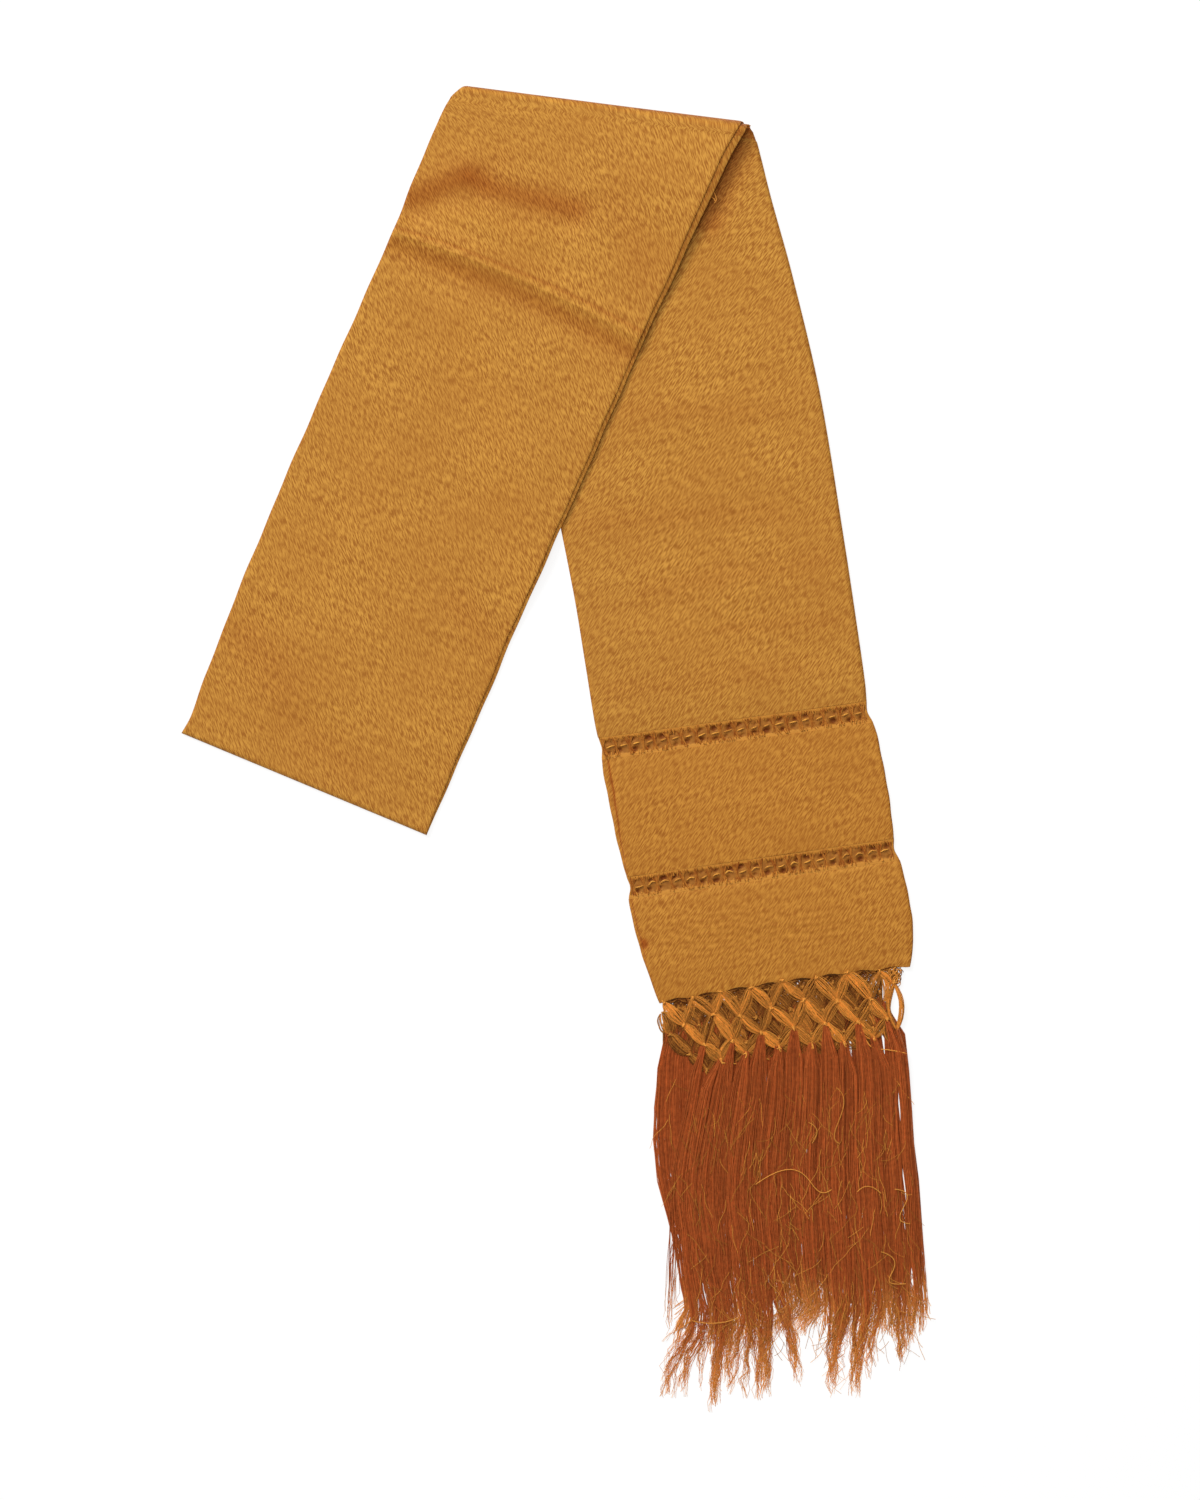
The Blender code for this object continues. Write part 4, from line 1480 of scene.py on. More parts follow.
@dataclass
class OpenworkRow:
    """A row of drawn threads: bundles with a small hole above and below the laid cord."""

    name: str
    node: str
    start: float
    seed: int
    units: int = 20
    rounder: bool = False
    bundle: int = 15            # threads of each bundle
    margin: float = 2.0         # between the row's ends and its outermost bundles
    centre_line: float = 0.49   # the cord's, as a share of the row

    def ground(self) -> bpy.types.Object:
        """The sunken layers that show between the bundles.

        Returns:
            The object.
        """
        layout = Profile(columns=240).points()
        rings, paints = [], []
        end = self.start + ROW_LENGTH
        for along in np.linspace(self.start - ROW_OVERLAP, end + ROW_OVERLAP, 28):
            at = LOWER.ring(layout, along)
            x, y = LOWER.place(at.along, at.across)
            depth, tone = self.hollow(at)
            z = layout["height"] * (lower_thickness(at.along) - depth)
            rings.append(np.stack([x, y, z], axis=-1))
            paints.append(level_paint(tone))
        made = make_shell(f"{self.name}_ground", rings, OPENWORK_GROUND.material(), paints)
        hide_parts(self.node)
        return made

    def hollow(self, at: Places) -> tuple[np.ndarray, np.ndarray]:
        """The sunken ground, with a pit for each hole.

        Args:
            at: places round one ring of the arm.

        Returns:
            Depth, and tone with painted shade in the sunken ground and more in its pits.
        """
        left, right = LOWER.curve.row(at.along[0], "left", "right")
        width = right + left
        share = (at.across + left) / width
        down = (at.along - self.start) / ROW_LENGTH
        edge = np.minimum(down, 1 - down)
        ragged = 0.015 * np.sin(share * 211.0 + self.seed) + 0.012 * np.sin(share * 487.0)
        inside = ease((edge - 0.12 - ragged) / 0.08) * ease((0.5 - np.abs(share - 0.5)) / 0.012)
        unit = share * self.units
        number = np.floor(unit)
        off = (unit - number - 0.5) * width / self.units
        pit = np.zeros_like(at.across)
        for middle, lean in ((0.29, 1.0), (0.73, -0.8)):
            jitter = 1.2 * np.sin(number * 2.4 + self.seed + 20.0 * middle)
            size = 0.86 + 0.32 * np.sin(number * 5.1 + 9.0 * middle + self.seed)
            dx = (off - lean + jitter) / (2.2 * size)
            dy = ((down - middle) * ROW_LENGTH + 0.5 * dx + 0.5 * jitter) / (1.6 * size)
            pit = np.maximum(pit, size * np.exp(-((dx ** 2 + dy ** 2) ** 1.3)))
        depth = 0.35 + inside * (0.30 + 1.6 * pit)
        # Painted shade: the sunken ground darker, and darker still in the pits of its holes.
        tone = 0.97 - inside * (0.56 + 0.42 * pit)
        return depth, tone

    def span(self, along: float) -> tuple[float, float, float]:
        """Both ends of the row at a place along the arm, and the distance between its bundles."""
        left, right = LOWER.curve.row(along, "left", "right")
        return -left, right, (right + left - 2 * self.margin) / self.units

    def floss(self) -> bpy.types.Object:
        """The bundles of warp left standing, and the stitches at the row's edges.

        Returns:
            The object.
        """
        rng = np.random.default_rng(self.seed)
        left, right, pitch = self.span(self.start + ROW_LENGTH / 2)
        t = np.linspace(0, 1, 9)
        pinch = 0.30 + 0.70 * (2 * t - 1) ** 2
        threads = Threads(t)
        top = BAND_THICKNESS - ROW_THINNING
        for k in range(self.units + 1):
            centre = left + self.margin + pitch * k + rng.uniform(-0.9, 0.9)
            for _ in range(self.bundle):
                lean = rng.uniform(-1, 1)
                cross = rng.choice((-1.0, 1.0)) * rng.uniform(0.3, 1.0)
                across = centre + 3.0 * lean * pinch + cross * (2 * t - 1) * 1.2
                reach = rng.uniform(-0.9, 1.4, 2)
                along = self.start + 1.4 + reach[0] + (ROW_LENGTH - 2.8 - reach[1] - reach[0]) * t
                lift = rng.uniform(-0.5, 0.15)
                z = top + lift - 0.5 * np.sin(math.pi * t) + 0.25 * np.sin(2 * math.pi * t + lean)
                x, y = LOWER.place(along, np.clip(across, left + 1.5, right - 1.5))
                # Threads that lie higher get a little painted highlight.
                threads.lay(np.stack([x, y, z], axis=-1), 0.30 * rng.random() + 0.06 * (lift > 0))
        for line, sign in ((0.05, 1.0), (0.95, -1.0)):
            for _ in range(self.units * 4):
                across = rng.uniform(left + 3.0, right - 3.0)
                reach = sign * rng.uniform(1.4, 3.8)
                along = self.start + line * ROW_LENGTH + reach * t
                x, y = LOWER.place(along, across + rng.uniform(-1.3, 1.3) * t)
                z = top + 0.95 - 0.75 * t ** 1.5
                threads.lay(np.stack([x, y, z], axis=-1), 0.15 + 0.45 * rng.random())
        count = len(threads.paths)
        body = (0.30 + 0.14 * rng.random((count, 1))) * (1 - 0.35 * (2 * t - 1) ** 2)[None, :]
        made = threads.make(f"{self.name}_floss", OPENWORK_FLOSS, 4, body, rng.random(count), 0.8)
        return made

    def cord(self) -> bpy.types.Object:
        """The bright thread laid along the row, in sight between the bundles.

        Returns:
            The object.
        """
        rng = np.random.default_rng(self.seed + 5)
        middle = self.start + ROW_LENGTH * self.centre_line
        left, _, pitch = self.span(middle)
        t = np.linspace(0, 1, 11)
        threads = Threads(t)
        bow = 1.6 if self.rounder else 0.25
        for k in range(self.units):
            centre = left + self.margin + pitch * (k + 0.5) + rng.uniform(-0.4, 0.4)
            half = pitch * rng.uniform(0.20, 0.34)
            down = middle + rng.uniform(-0.35, 0.35)
            lean = rng.uniform(0.2, 0.8)
            bend = bow * np.sin(math.pi * t) * rng.uniform(-0.3, 1.0)
            x, y = LOWER.place(down - lean * (2 * t - 1) - bend, centre + half * (2 * t - 1))
            z = BAND_THICKNESS - 0.85 + 0.55 * np.sin(math.pi * t) ** 0.6
            threads.lay(np.stack([x, y, z], axis=-1), 0.0)
        width = 0.55 * (0.25 + 0.75 * np.sin(math.pi * np.clip(t, 0.04, 0.96)) ** 0.5)
        threads.tones = list(0.45 + 0.45 * rng.random(self.units))
        made = threads.make(f"{self.name}_cord", OPENWORK_FLOSS, 6, width, threads.tones)
        return made

    def build(self) -> list[bpy.types.Object]:
        """Build the row: its ground first, then what lies on it."""
        return [self.ground(), self.floss(), self.cord()]


@dataclass(frozen=True)
class Knot:
    """A knot of the net, from the middle of the fold line."""

    x: float
    down: float


TOP_KNOTS = (
    (
        Knot(46.1, 647.3), Knot(66.7, 644.0), Knot(87.1, 639.4), Knot(108.0, 636.5),
        Knot(131.0, 631.1), Knot(155.5, 629.3), Knot(177.8, 625.7), Knot(201.2, 625.0),
        Knot(211.7, 632.7),
    ),
    (
        Knot(60.5, 662.4), Knot(81.4, 655.2), Knot(100.8, 655.9), Knot(122.4, 650.2),
        Knot(146.9, 644.4), Knot(170.6, 645.1), Knot(194.4, 644.0),
    ),
    (
        Knot(74.9, 676.8), Knot(95.4, 673.9), Knot(115.9, 668.2), Knot(139.3, 664.6),
        Knot(162.0, 661.7), Knot(185.8, 660.2), Knot(206.5, 658.1),
    ),
    (
        Knot(87.0, 688.0), Knot(105.0, 682.5), Knot(128.9, 678.6), Knot(152.6, 676.2),
        Knot(175.7, 675.6), Knot(197.0, 672.0),
    ),
)
LOW_SHIFT = (-10.0, 7.0)      # the lower net's knots lie this far from the upper one's
NET_LEFT = 45.4


@dataclass(frozen=True)
class LooseBundle:
    """A thin bundle at the frayed end of the net, bowed sideways."""

    x: float
    down: float
    to_x: float
    to_down: float
    bow: float
    half: float


LOOSE_BUNDLES = (
    LooseBundle(211.7, 632.7, 213.8, 667.0, -5.4, 1.1),
    LooseBundle(211.7, 632.7, 213.8, 667.0, 4.4, 1.2),
    LooseBundle(201.2, 625.0, 209.5, 634.0, 1.5, 2.0),
    LooseBundle(204.0, 628.0, 205.5, 646.0, 2.0, 2.2),
    LooseBundle(206.5, 658.1, 209.0, 676.0, -2.5, 1.2),
)


@dataclass(frozen=True)
class ClothEnd:
    """The line on which the cloth ends, from the middle of the fold line."""

    x: float = 43.0
    down: float = 646.0
    slope: float = -0.152

    def read(self, x: np.ndarray) -> np.ndarray:
        """How far down the cloth ends at a place along X."""
        return self.down + self.slope * (x - self.x)


SEE_THROUGH = (Knot(112.3, 655.2), Knot(155.5, 642.2), Knot(45.8, 655.9), Knot(51.1, 671.0))


@dataclass(frozen=True)
class Bundle:
    """A flat bundle of floss between two knots."""

    start: np.ndarray
    end: np.ndarray
    falls: bool             # whether it falls towards +X, and so lies on top
    half: float
    bow: float


@dataclass
class Net:
    """A net of flat bundles of floss that cross between knots."""

    name: str
    node: str
    low: float
    shift: tuple[float, float]
    seed: int
    # painted shade, taken off every tone of a net that lies under the other
    shade: float = 0.0
    loose: tuple[LooseBundle, ...] = ()
    wide: float = 1.0
    backing: int = 0            # threads behind the meshes
    header: int = 0             # threads that come out of the cloth
    strands: int = 24           # of each bundle
    half: float = 3.6           # a bundle's half width

    def rows(self) -> list[list[np.ndarray]]:
        """The knots, row by row.

        Returns:
            X and Y of each one, moved by the net's shift but not past its left edge.
        """
        shift = np.array([self.shift[0], -self.shift[1]])
        rows = [[on_plane(knot.x, knot.down) + shift for knot in row] for row in TOP_KNOTS]
        for row in rows:
            for knot in row:
                knot[0] = max(knot[0], FOLD_MIDDLE[0] + NET_LEFT)
        return rows

    def links(self, rows: list[list[np.ndarray]], rng: np.random.Generator) -> list[Bundle]:
        """The bundles between the knots, and the loose ones.

        Args:
            rows: the knots.
            rng: where the chances come from.

        Returns:
            The bundles.
        """
        pairs = []
        for above, below in zip(rows, rows[1:]):
            for k, knot in enumerate(above):
                if k < len(below):
                    pairs.append((knot, below[k], True))
                if 0 < k <= len(below):
                    pairs.append((knot, below[k - 1], False))
        made = []
        for start, end, falls in pairs:
            half = self.wide * self.half * rng.uniform(0.85, 1.15)
            made.append(Bundle(start, end, falls, half, rng.uniform(-1.2, 1.2)))
        for item in self.loose:
            start, end = on_plane(item.x, item.down), on_plane(item.to_x, item.to_down)
            made.append(Bundle(start, end, item.bow > 0, item.half, item.bow))
        return made

    def lay_bundle(self, threads: Threads, bundle: Bundle, rng: np.random.Generator) -> None:
        """Lay the strands of one bundle, side by side with a few that cross.

        Args:
            threads: where they are laid.
            bundle: the bundle.
            rng: where the chances come from.
        """
        t = threads.share
        reach = bundle.end - bundle.start
        normal = np.array([-reach[1], reach[0]]) / float(np.linalg.norm(reach))
        lift = 1.1 if bundle.falls else 0.2
        # Bundles that lie under the others get painted shade: a lower tone.
        tone = (0.78 if bundle.falls else 0.50) + rng.uniform(-0.14, 0.14) - self.shade
        blunt, skew, wisp = rng.uniform(0.28, 0.5), rng.uniform(0.8, 1.25), rng.uniform(0.2, 0.7)
        phase = rng.uniform(0, 2 * math.pi)
        belly = np.sin(math.pi * np.clip(t, 0.02, 0.98) ** skew) ** blunt
        strands = round(self.strands * self.wide)
        for k in range(strands):
            place = (k / (strands - 1)) * 2 - 1 + rng.uniform(-0.12, 0.12)
            off = bundle.half * place * belly + bundle.bow * np.sin(math.pi * t)
            off = off + 0.45 * place + rng.uniform(-wisp, wisp) * np.sin(2 * math.pi * t)
            xy = bundle.start[None] + reach[None] * t[:, None] + normal[None] * off[:, None]
            crown = 0.75 * (1 - place ** 2) * belly + rng.uniform(-0.15, 0.15)
            z = self.low + 0.5 + lift * np.sin(math.pi * t) + crown
            streak = 0.12 * math.sin(4.0 * place + phase) - 0.18 * (abs(place) > 0.86)
            level = np.clip(tone + streak + rng.uniform(-0.30, 0.24), 0, 1)
            threads.lay(np.column_stack([xy, z]), level, rng.uniform(0.24, 0.36))

    def build(self) -> list[bpy.types.Object]:
        """Build the bundles and the knots.

        Returns:
            Both objects.
        """
        rng = np.random.default_rng(self.seed)
        t = np.linspace(0, 1, 9)
        threads = Threads(t)
        rows = self.rows()
        for bundle in self.links(rows, rng):
            self.lay_bundle(threads, bundle, rng)
        for k in range(self.header):
            path = self.header_thread(k, rng, t)
            threads.lay(path, rng.uniform(0.0, 0.42), rng.uniform(0.34, 0.5))
        # The backing threads are dark: partly their own brown, partly painted shade from the meshes
        # over them.
        for _ in range(self.backing):
            path = self.backing_thread(rng, t)
            if path is not None:
                threads.lay(path, rng.uniform(0.0, 0.34), rng.uniform(0.34, 0.5))
        body = np.array(threads.radii)[:, None] * (0.75 + 0.25 * np.sin(math.pi * t))[None, :]
        chance = rng.random(len(threads.paths))
        bundles = threads.make(f"{self.name}_bundles", NET_FLOSS, 3, body, chance, 0.9)
        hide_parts(self.node)
        return [bundles, self.knots(rows, rng)]

    def backing_thread(self, rng: np.random.Generator, t: np.ndarray) -> np.ndarray | None:
        """A slanting thread behind the meshes.

        Args:
            rng: where the chances come from.
            t: shares along the thread.

        Returns:
            Its points, or None where the surface shows through.
        """
        start, reach = rng.uniform(44.0, 202.0), rng.uniform(26.0, 42.0)
        lean = rng.choice((-1.0, 1.0)) * rng.uniform(0.5, 1.0) * reach
        x = start + lean * t + rng.uniform(-2.0, 2.0) * np.sin(math.pi * t)
        down = ClothEnd().read(start) - 1.5 + reach * t
        x = np.clip(x, NET_LEFT + rng.uniform(0.0, 1.5), 203.0 - rng.uniform(0.0, 2.0))
        for spot in SEE_THROUGH:
            if np.hypot(x - spot.x, down - spot.down).min() < 1.8:
                return None
        return from_fold(x, down, rng.uniform(0.56, 1.6) + 0.4 * np.sin(math.pi * t))

    def header_thread(self, k: int, rng: np.random.Generator, t: np.ndarray) -> np.ndarray:
        """A short thread of the warp, which comes out of the cloth towards a knot.

        Args:
            k: its number.
            rng: where the chances come from.
            t: shares along the thread.

        Returns:
            Its points.
        """
        tops = TOP_KNOTS[0][:-1]
        knot, place = tops[k % len(tops)], rng.uniform(-1, 1)
        start = knot.x + 11.5 * place
        depth = rng.uniform(1.5, 4.5)
        x = start + (knot.x - start) * 0.55 * t + 0.6 * np.sin(math.pi * t + place)
        down = ClothEnd().read(start) - 0.6 + depth * np.sin(0.5 * math.pi * t)
        z = rng.uniform(0.8, 2.6) + 0.3 * np.sin(math.pi * t)
        return from_fold(np.maximum(x, NET_LEFT), down, z)

    def knots(self, rows: list[list[np.ndarray]], rng: np.random.Generator) -> bpy.types.Object:
        """Small tight knots, each of three loops with a few loose ends.

        Args:
            rows: their places.
            rng: where the chances come from.

        Returns:
            The object.
        """
        t = np.linspace(0, 1, 10)
        threads = Threads(t)
        for r, row in enumerate(rows):
            for knot in row:
                for _ in range(3):
                    turn, tilt = rng.uniform(0, 2 * math.pi), rng.uniform(-0.7, 0.7)
                    size = rng.uniform(0.5, 0.85)
                    angle = turn + 2 * math.pi * t * 0.93
                    x = knot[0] + size * np.cos(angle) * math.cos(tilt)
                    y = knot[1] + size * np.sin(angle)
                    z = self.low + 1.8 + size * np.cos(angle) * math.sin(tilt)
                    threads.lay(np.column_stack([x, y, z]), rng.uniform(0.65, 1.0) - self.shade)
                for _ in range(3 if r else 2):
                    heading = rng.uniform(-2.4, -0.7) if r else rng.uniform(0.3, 2.8)
                    reach = rng.uniform(1.8, 4.2) if r == len(rows) - 1 else rng.uniform(1.2, 2.6)
                    curl = rng.uniform(-0.9, 0.9)
                    x = knot[0] + reach * t * np.cos(heading + curl * t)
                    y = knot[1] + reach * t * np.sin(heading + curl * t)
                    z = self.low + 2.4 + 0.5 * np.sin(math.pi * t)
                    threads.lay(np.column_stack([x, y, z]), rng.uniform(0.75, 1.0) - self.shade)
        chance = rng.random(len(threads.paths))
        made = threads.make(f"{self.name}_knots", NET_FLOSS, 4, np.full((1, len(t)), 0.42), chance)
        return made


@dataclass(frozen=True)
class FringeLine:
    """The fringe's width at one height on the plane, from the middle of the fold line."""

    down: float
    left: float
    right: float


FRINGE_OUTLINE = (
    FringeLine(640.0, 47.0, 216.0),
    FringeLine(660.0, 43.0, 219.0),
    FringeLine(702.0, 41.0, 223.0),
    FringeLine(745.0, 39.0, 226.0),
    FringeLine(788.0, 44.0, 230.0),
    FringeLine(816.0, 53.0, 231.5),
    FringeLine(847.0, 57.5, 233.0),
    FringeLine(874.0, 62.5, 233.5),
    FringeLine(945.0, 62.5, 226.0),
)


@dataclass(frozen=True)
class Lock:
    """A lock of threads that ends in one tip."""

    end: float              # its right side, as a share of the fringe's width at the root
    tip_x: float
    tip_down: float
    gather: float           # where its threads begin to draw together
    width: float            # of its tip
    ragged: float           # how unevenly its threads end
    filled: float = 1.0


UPPER_LOCKS = (
    Lock(0.02, 51.5, 888.0, 740.0, 7.0, 40.0, 0.8),
    Lock(0.055, 47.5, 934.0, 868.0, 3.0, 24.0),
    Lock(0.09, 58.5, 932.0, 866.0, 2.6, 22.0),
    Lock(0.115, 70.5, 930.0, 862.0, 2.0, 40.0, 0.7),
    Lock(0.18, 83.0, 943.0, 866.0, 5.0, 32.0),
    Lock(0.26, 93.0, 930.0, 866.0, 5.5, 36.0),
    Lock(0.37, 114.0, 934.0, 846.0, 12.0, 28.0),
    Lock(0.43, 141.0, 927.0, 850.0, 2.4, 38.0),
    Lock(0.60, 140.0, 889.0, 860.0, 24.0, 18.0),
    Lock(0.70, 167.5, 934.0, 850.0, 4.0, 42.0),
    Lock(0.79, 184.5, 932.0, 856.0, 5.0, 38.0),
    Lock(0.82, 191.5, 928.0, 862.0, 3.6, 36.0),
    Lock(0.885, 204.0, 892.0, 868.0, 15.0, 18.0),
    Lock(0.93, 217.5, 908.0, 864.0, 4.0, 22.0),
    Lock(0.975, 224.5, 894.0, 852.0, 6.0, 16.0),
    Lock(1.0, 231.5, 890.0, 800.0, 3.0, 14.0, 0.8),
)
LOWER_LOCKS = (
    Lock(0.03, 55.0, 905.0, 860.0, 4.0, 30.0, 0.9),
    Lock(0.07, 63.0, 900.0, 850.0, 4.0, 30.0, 0.9),
    Lock(0.20, 84.0, 905.0, 830.0, 12.0, 34.0),
    Lock(0.38, 110.0, 900.0, 830.0, 18.0, 30.0),
    Lock(0.58, 142.0, 872.0, 840.0, 30.0, 20.0),
    Lock(0.74, 171.0, 896.0, 850.0, 14.0, 34.0),
    Lock(0.88, 196.0, 890.0, 850.0, 20.0, 26.0),
    Lock(1.0, 222.0, 880.0, 850.0, 17.0, 18.0, 0.9),
)


@dataclass(frozen=True)
class Parting:
    """A slit between the threads of the fringe, through which the surface shows."""

    x: float
    down: float
    reach: float
    half: float


PARTINGS = (
    Parting(203.6, 671.0, 13.0, 1.3),
    Parting(215.5, 733.0, 26.0, 1.2),
    Parting(219.0, 790.0, 34.0, 1.3),
    Parting(43.5, 775.0, 24.0, 0.7),
    Parting(51.5, 815.0, 26.0, 1.0),
    Parting(56.0, 856.0, 22.0, 1.2),
    Parting(224.5, 858.0, 26.0, 1.2),
)
UPPER_ROOTS = (
    Knot(73.0, 678.5), Knot(87.0, 688.0), Knot(95.4, 676.0), Knot(105.0, 682.5),
    Knot(115.9, 670.5), Knot(128.9, 678.6), Knot(139.3, 667.0), Knot(152.6, 676.2),
    Knot(162.0, 664.0), Knot(175.7, 675.6), Knot(185.8, 662.5), Knot(197.0, 672.0),
    Knot(207.0, 660.0), Knot(214.0, 666.0),
)
LOWER_ROOTS = (
    Knot(47.0, 668.0), Knot(53.0, 660.0), Knot(63.0, 664.0), Knot(72.0, 658.0),
    Knot(84.0, 660.0), Knot(94.0, 654.0), Knot(106.0, 655.0), Knot(118.0, 648.0),
    Knot(130.0, 650.0), Knot(142.0, 647.0), Knot(154.0, 650.0), Knot(166.0, 646.0),
    Knot(178.0, 648.0), Knot(190.0, 644.0), Knot(203.0, 644.0),
)


@dataclass
class Fringe:
    """Loose warp ends, which fan out of the net's last knots and gather into locks."""

    name: str
    node: str
    locks: tuple[Lock, ...]
    roots: tuple[Knot, ...]
    threads: int
    low: float
    high: float
    seed: int
    spread: float = 0.3     # how little its roots are drawn to the knots
    indent: float = 0.0     # how far its left edge stands back at the top
    steps: int = 20
    thickness: float = 0.25
    # painted shade, taken off every tone of a fringe that lies under the other
    shade: float = 0.0
    wisp_threads: int = 10

    def of_lock(self, name: str, which: np.ndarray) -> np.ndarray:
        """One column of the locks, for each thread's lock."""
        return np.array([getattr(lock, name) for lock in self.locks])[which]

    def choose(self, rng: np.random.Generator) -> tuple[np.ndarray, np.ndarray]:
        """Choose where the threads begin.

        Args:
            rng: where the chances come from.

        Returns:
            Each thread's place, as a share of the fringe's width, and its lock's number.
        """
        ends = np.array([lock.end for lock in self.locks])
        share = (np.arange(self.threads) + rng.random(self.threads)) / self.threads
        which = np.minimum(np.searchsorted(ends, share), len(ends) - 1)
        kept = rng.random(self.threads) < self.of_lock("filled", which)
        return share[kept], which[kept]

    def root_places(self, share: np.ndarray, rng: np.random.Generator) -> tuple[np.ndarray, np.ndarray]:
        """Where the threads come out of the net's knots.

        Args:
            share: each thread's place, as a share of the fringe's width.
            rng: where the chances come from.

        Returns:
            Places along X and down, from the middle of the fold line.
        """
        roots = np.array([(root.x, root.down) for root in self.roots])
        guess = roots[0, 0] + share * (roots[-1, 0] - roots[0, 0])
        near = np.abs(roots[:, 0][None, :] - guess[:, None]).argmin(axis=1)
        x = roots[near, 0] + (guess - roots[near, 0]) * self.spread
        x = x + rng.uniform(-0.9, 0.9, len(share))
        return x, roots[near, 1] + rng.uniform(-1.0, 2.0, len(share))

    def part(self, x: np.ndarray, down: np.ndarray) -> np.ndarray:
        """Push the threads out of the slits.

        Args:
            x: places along X.
            down: places down.

        Returns:
            The new places along X.
        """
        for slit in PARTINGS:
            off = x - slit.x
            open_here = slit.half * np.clip(1 - ((down - slit.down) / slit.reach) ** 2, 0, 1)
            x = slit.x + np.where(off < 0, -1.0, 1.0) * np.sqrt(off ** 2 + open_here ** 2)
        return x

    def build(self) -> bpy.types.Object:
        """Build every thread.

        Returns:
            The object.
        """
        rng = np.random.default_rng(self.seed)
        share, which = self.choose(rng)
        count = len(share)
        ends = np.array([lock.end for lock in self.locks])
        starts = np.concatenate([[0.0], ends[:-1]])
        inside = (share - starts[which]) / (ends - starts)[which]
        root_x, root_down = self.root_places(share, rng)
        wisps = rng.normal(0, 1, (self.threads // self.wisp_threads + 1, 3))
        wisp = wisps[(share * self.threads / self.wisp_threads).astype(int)]
        short = 0.5 * np.abs(wisp[:, 0]) + 0.7 * rng.random(count) ** 1.7
        tip_down = self.of_lock("tip_down", which) - self.of_lock("ragged", which) * short
        spread = inside - 0.5 + 0.30 * wisp[:, 1] + rng.normal(0, 0.10, count)
        tip_x = self.of_lock("tip_x", which) + self.of_lock("width", which) * spread

        body = round(self.steps * 0.45)
        t = np.append(np.linspace(0, 0.72, body), np.linspace(0.75, 1.0, self.steps - body))[None, :]
        down = root_down[:, None] + (tip_down - root_down)[:, None] * t
        below = down - root_down[:, None]
        outline = Curve(FRINGE_OUTLINE)
        left, right = outline.read("left", down), outline.read("right", down)
        left = left + self.indent * (1 - ease((down - 690.0) / 150.0))
        x = left + share[:, None] * (right - left)
        x = x + (root_x[:, None] - x) * np.exp(-((below / 8.0) ** 1.2))
        gather = self.of_lock("gather", which)
        drawn = ease((down - gather[:, None]) / (tip_down - gather)[:, None]) ** 1.3
        x = x + (tip_x[:, None] - x) * drawn
        bunch = share * 60.0
        sway = swell(bunch[:, None], down / 30.0, self.seed + 3, 2.0, 9.0)
        own = swell(np.arange(count)[:, None] * 7.7, down / 12.0, self.seed + 4, 3.0, 8.0)
        x = x + ease(below / 60.0) * (0.6 * sway + 0.5 * own)
        tipness = ease((down - 838.0) / 80.0)
        phase = rng.uniform(0, 2 * math.pi, (count, 1))
        curl = np.sin(down / (4.6 + 1.0 * wisp[:, 2:]) + 3.0 * wisp[:, :1])
        x = x + tipness * (1.8 * wisp[:, 2:] * curl + 0.8 * np.sin(down / 3.1 + phase))
        x = x + 0.7 * rng.normal(0, 1.0, (count, self.steps)) * np.clip((t - 0.85) / 0.15, 0, 1)
        x = self.part(x, down)

        depth = rng.random(count)[:, None] * (1 - 0.35 * t)
        clump = 0.5 + 0.5 * swell(bunch[:, None] * 2.0, down / 70.0, self.seed + 8, 2.0, 6.0)
        depth = np.clip(0.88 * depth + 0.12 * clump, 0, 1)
        fall = 1 - 0.55 * ease((down - 860.0) / 60.0)
        z = 0.45 + self.low * (1 - ease(below / 90.0)) + self.high * depth * fall
        thick = self.thickness * rng.uniform(0.8, 1.2, count)[:, None] * (1 - 0.45 * t ** 3)
        streak = 0.5 + 0.5 * swell(bunch * 1.3, np.zeros(count), self.seed + 9, 1.5, 6.0)
        tone = np.clip(0.12 + 0.16 * streak + 0.62 * rng.random(count), 0, 1) - self.shade
        threads = Threads(t[0], list(from_fold(x, down, z)), list(np.clip(tone, 0, 1)))
        made = threads.make(self.name, FRINGE_THREAD, 3, thick, 0.25 + 0.75 * rng.random(count))
        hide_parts(self.node)
        return made


@dataclass(frozen=True)
class Stray:
    """A loose thread lying over the fringe, as places from the middle of the fold line."""

    places: tuple[tuple[float, float], ...]
    tone: float
    radius: float = 0.3
    height: float = 4.3


STRAYS = (
    Stray(((111.6, 777.6), (137.5, 766.8), (146.9, 772.6), (157.7, 781.9), (166.3, 781.2)), 0.85),
    Stray(((66.2, 875.5), (80.0, 877.5), (91.4, 876.2), (98.6, 873.4)), 0.8),
    Stray(((170.0, 708.0), (175.0, 722.0), (169.5, 738.0), (172.0, 748.0)), 0.7),
    Stray(((150.0, 733.0), (156.0, 739.0), (152.5, 748.0)), 0.7),
    Stray(((185.0, 783.0), (193.0, 779.0), (202.0, 784.0)), 0.75),
    Stray(((212.0, 781.0), (221.0, 788.0), (216.0, 799.0), (223.0, 806.0)), 0.8),
    Stray(((202.0, 826.0), (212.0, 836.0), (208.0, 846.0), (220.0, 849.0)), 0.8),
    Stray(((191.5, 673.9), (196.5, 679.5), (204.0, 680.5), (221.0, 683.5)), 1.0, 0.34),
    Stray(((79.6, 62.5), (81.8, 65.0), (83.4, 69.0), (82.2, 72.5)), 0.7, 0.3, 12.2),
    Stray(((78.0, 68.0), (80.8, 68.5), (83.0, 71.5)), 0.8, 0.26, 12.0),
)


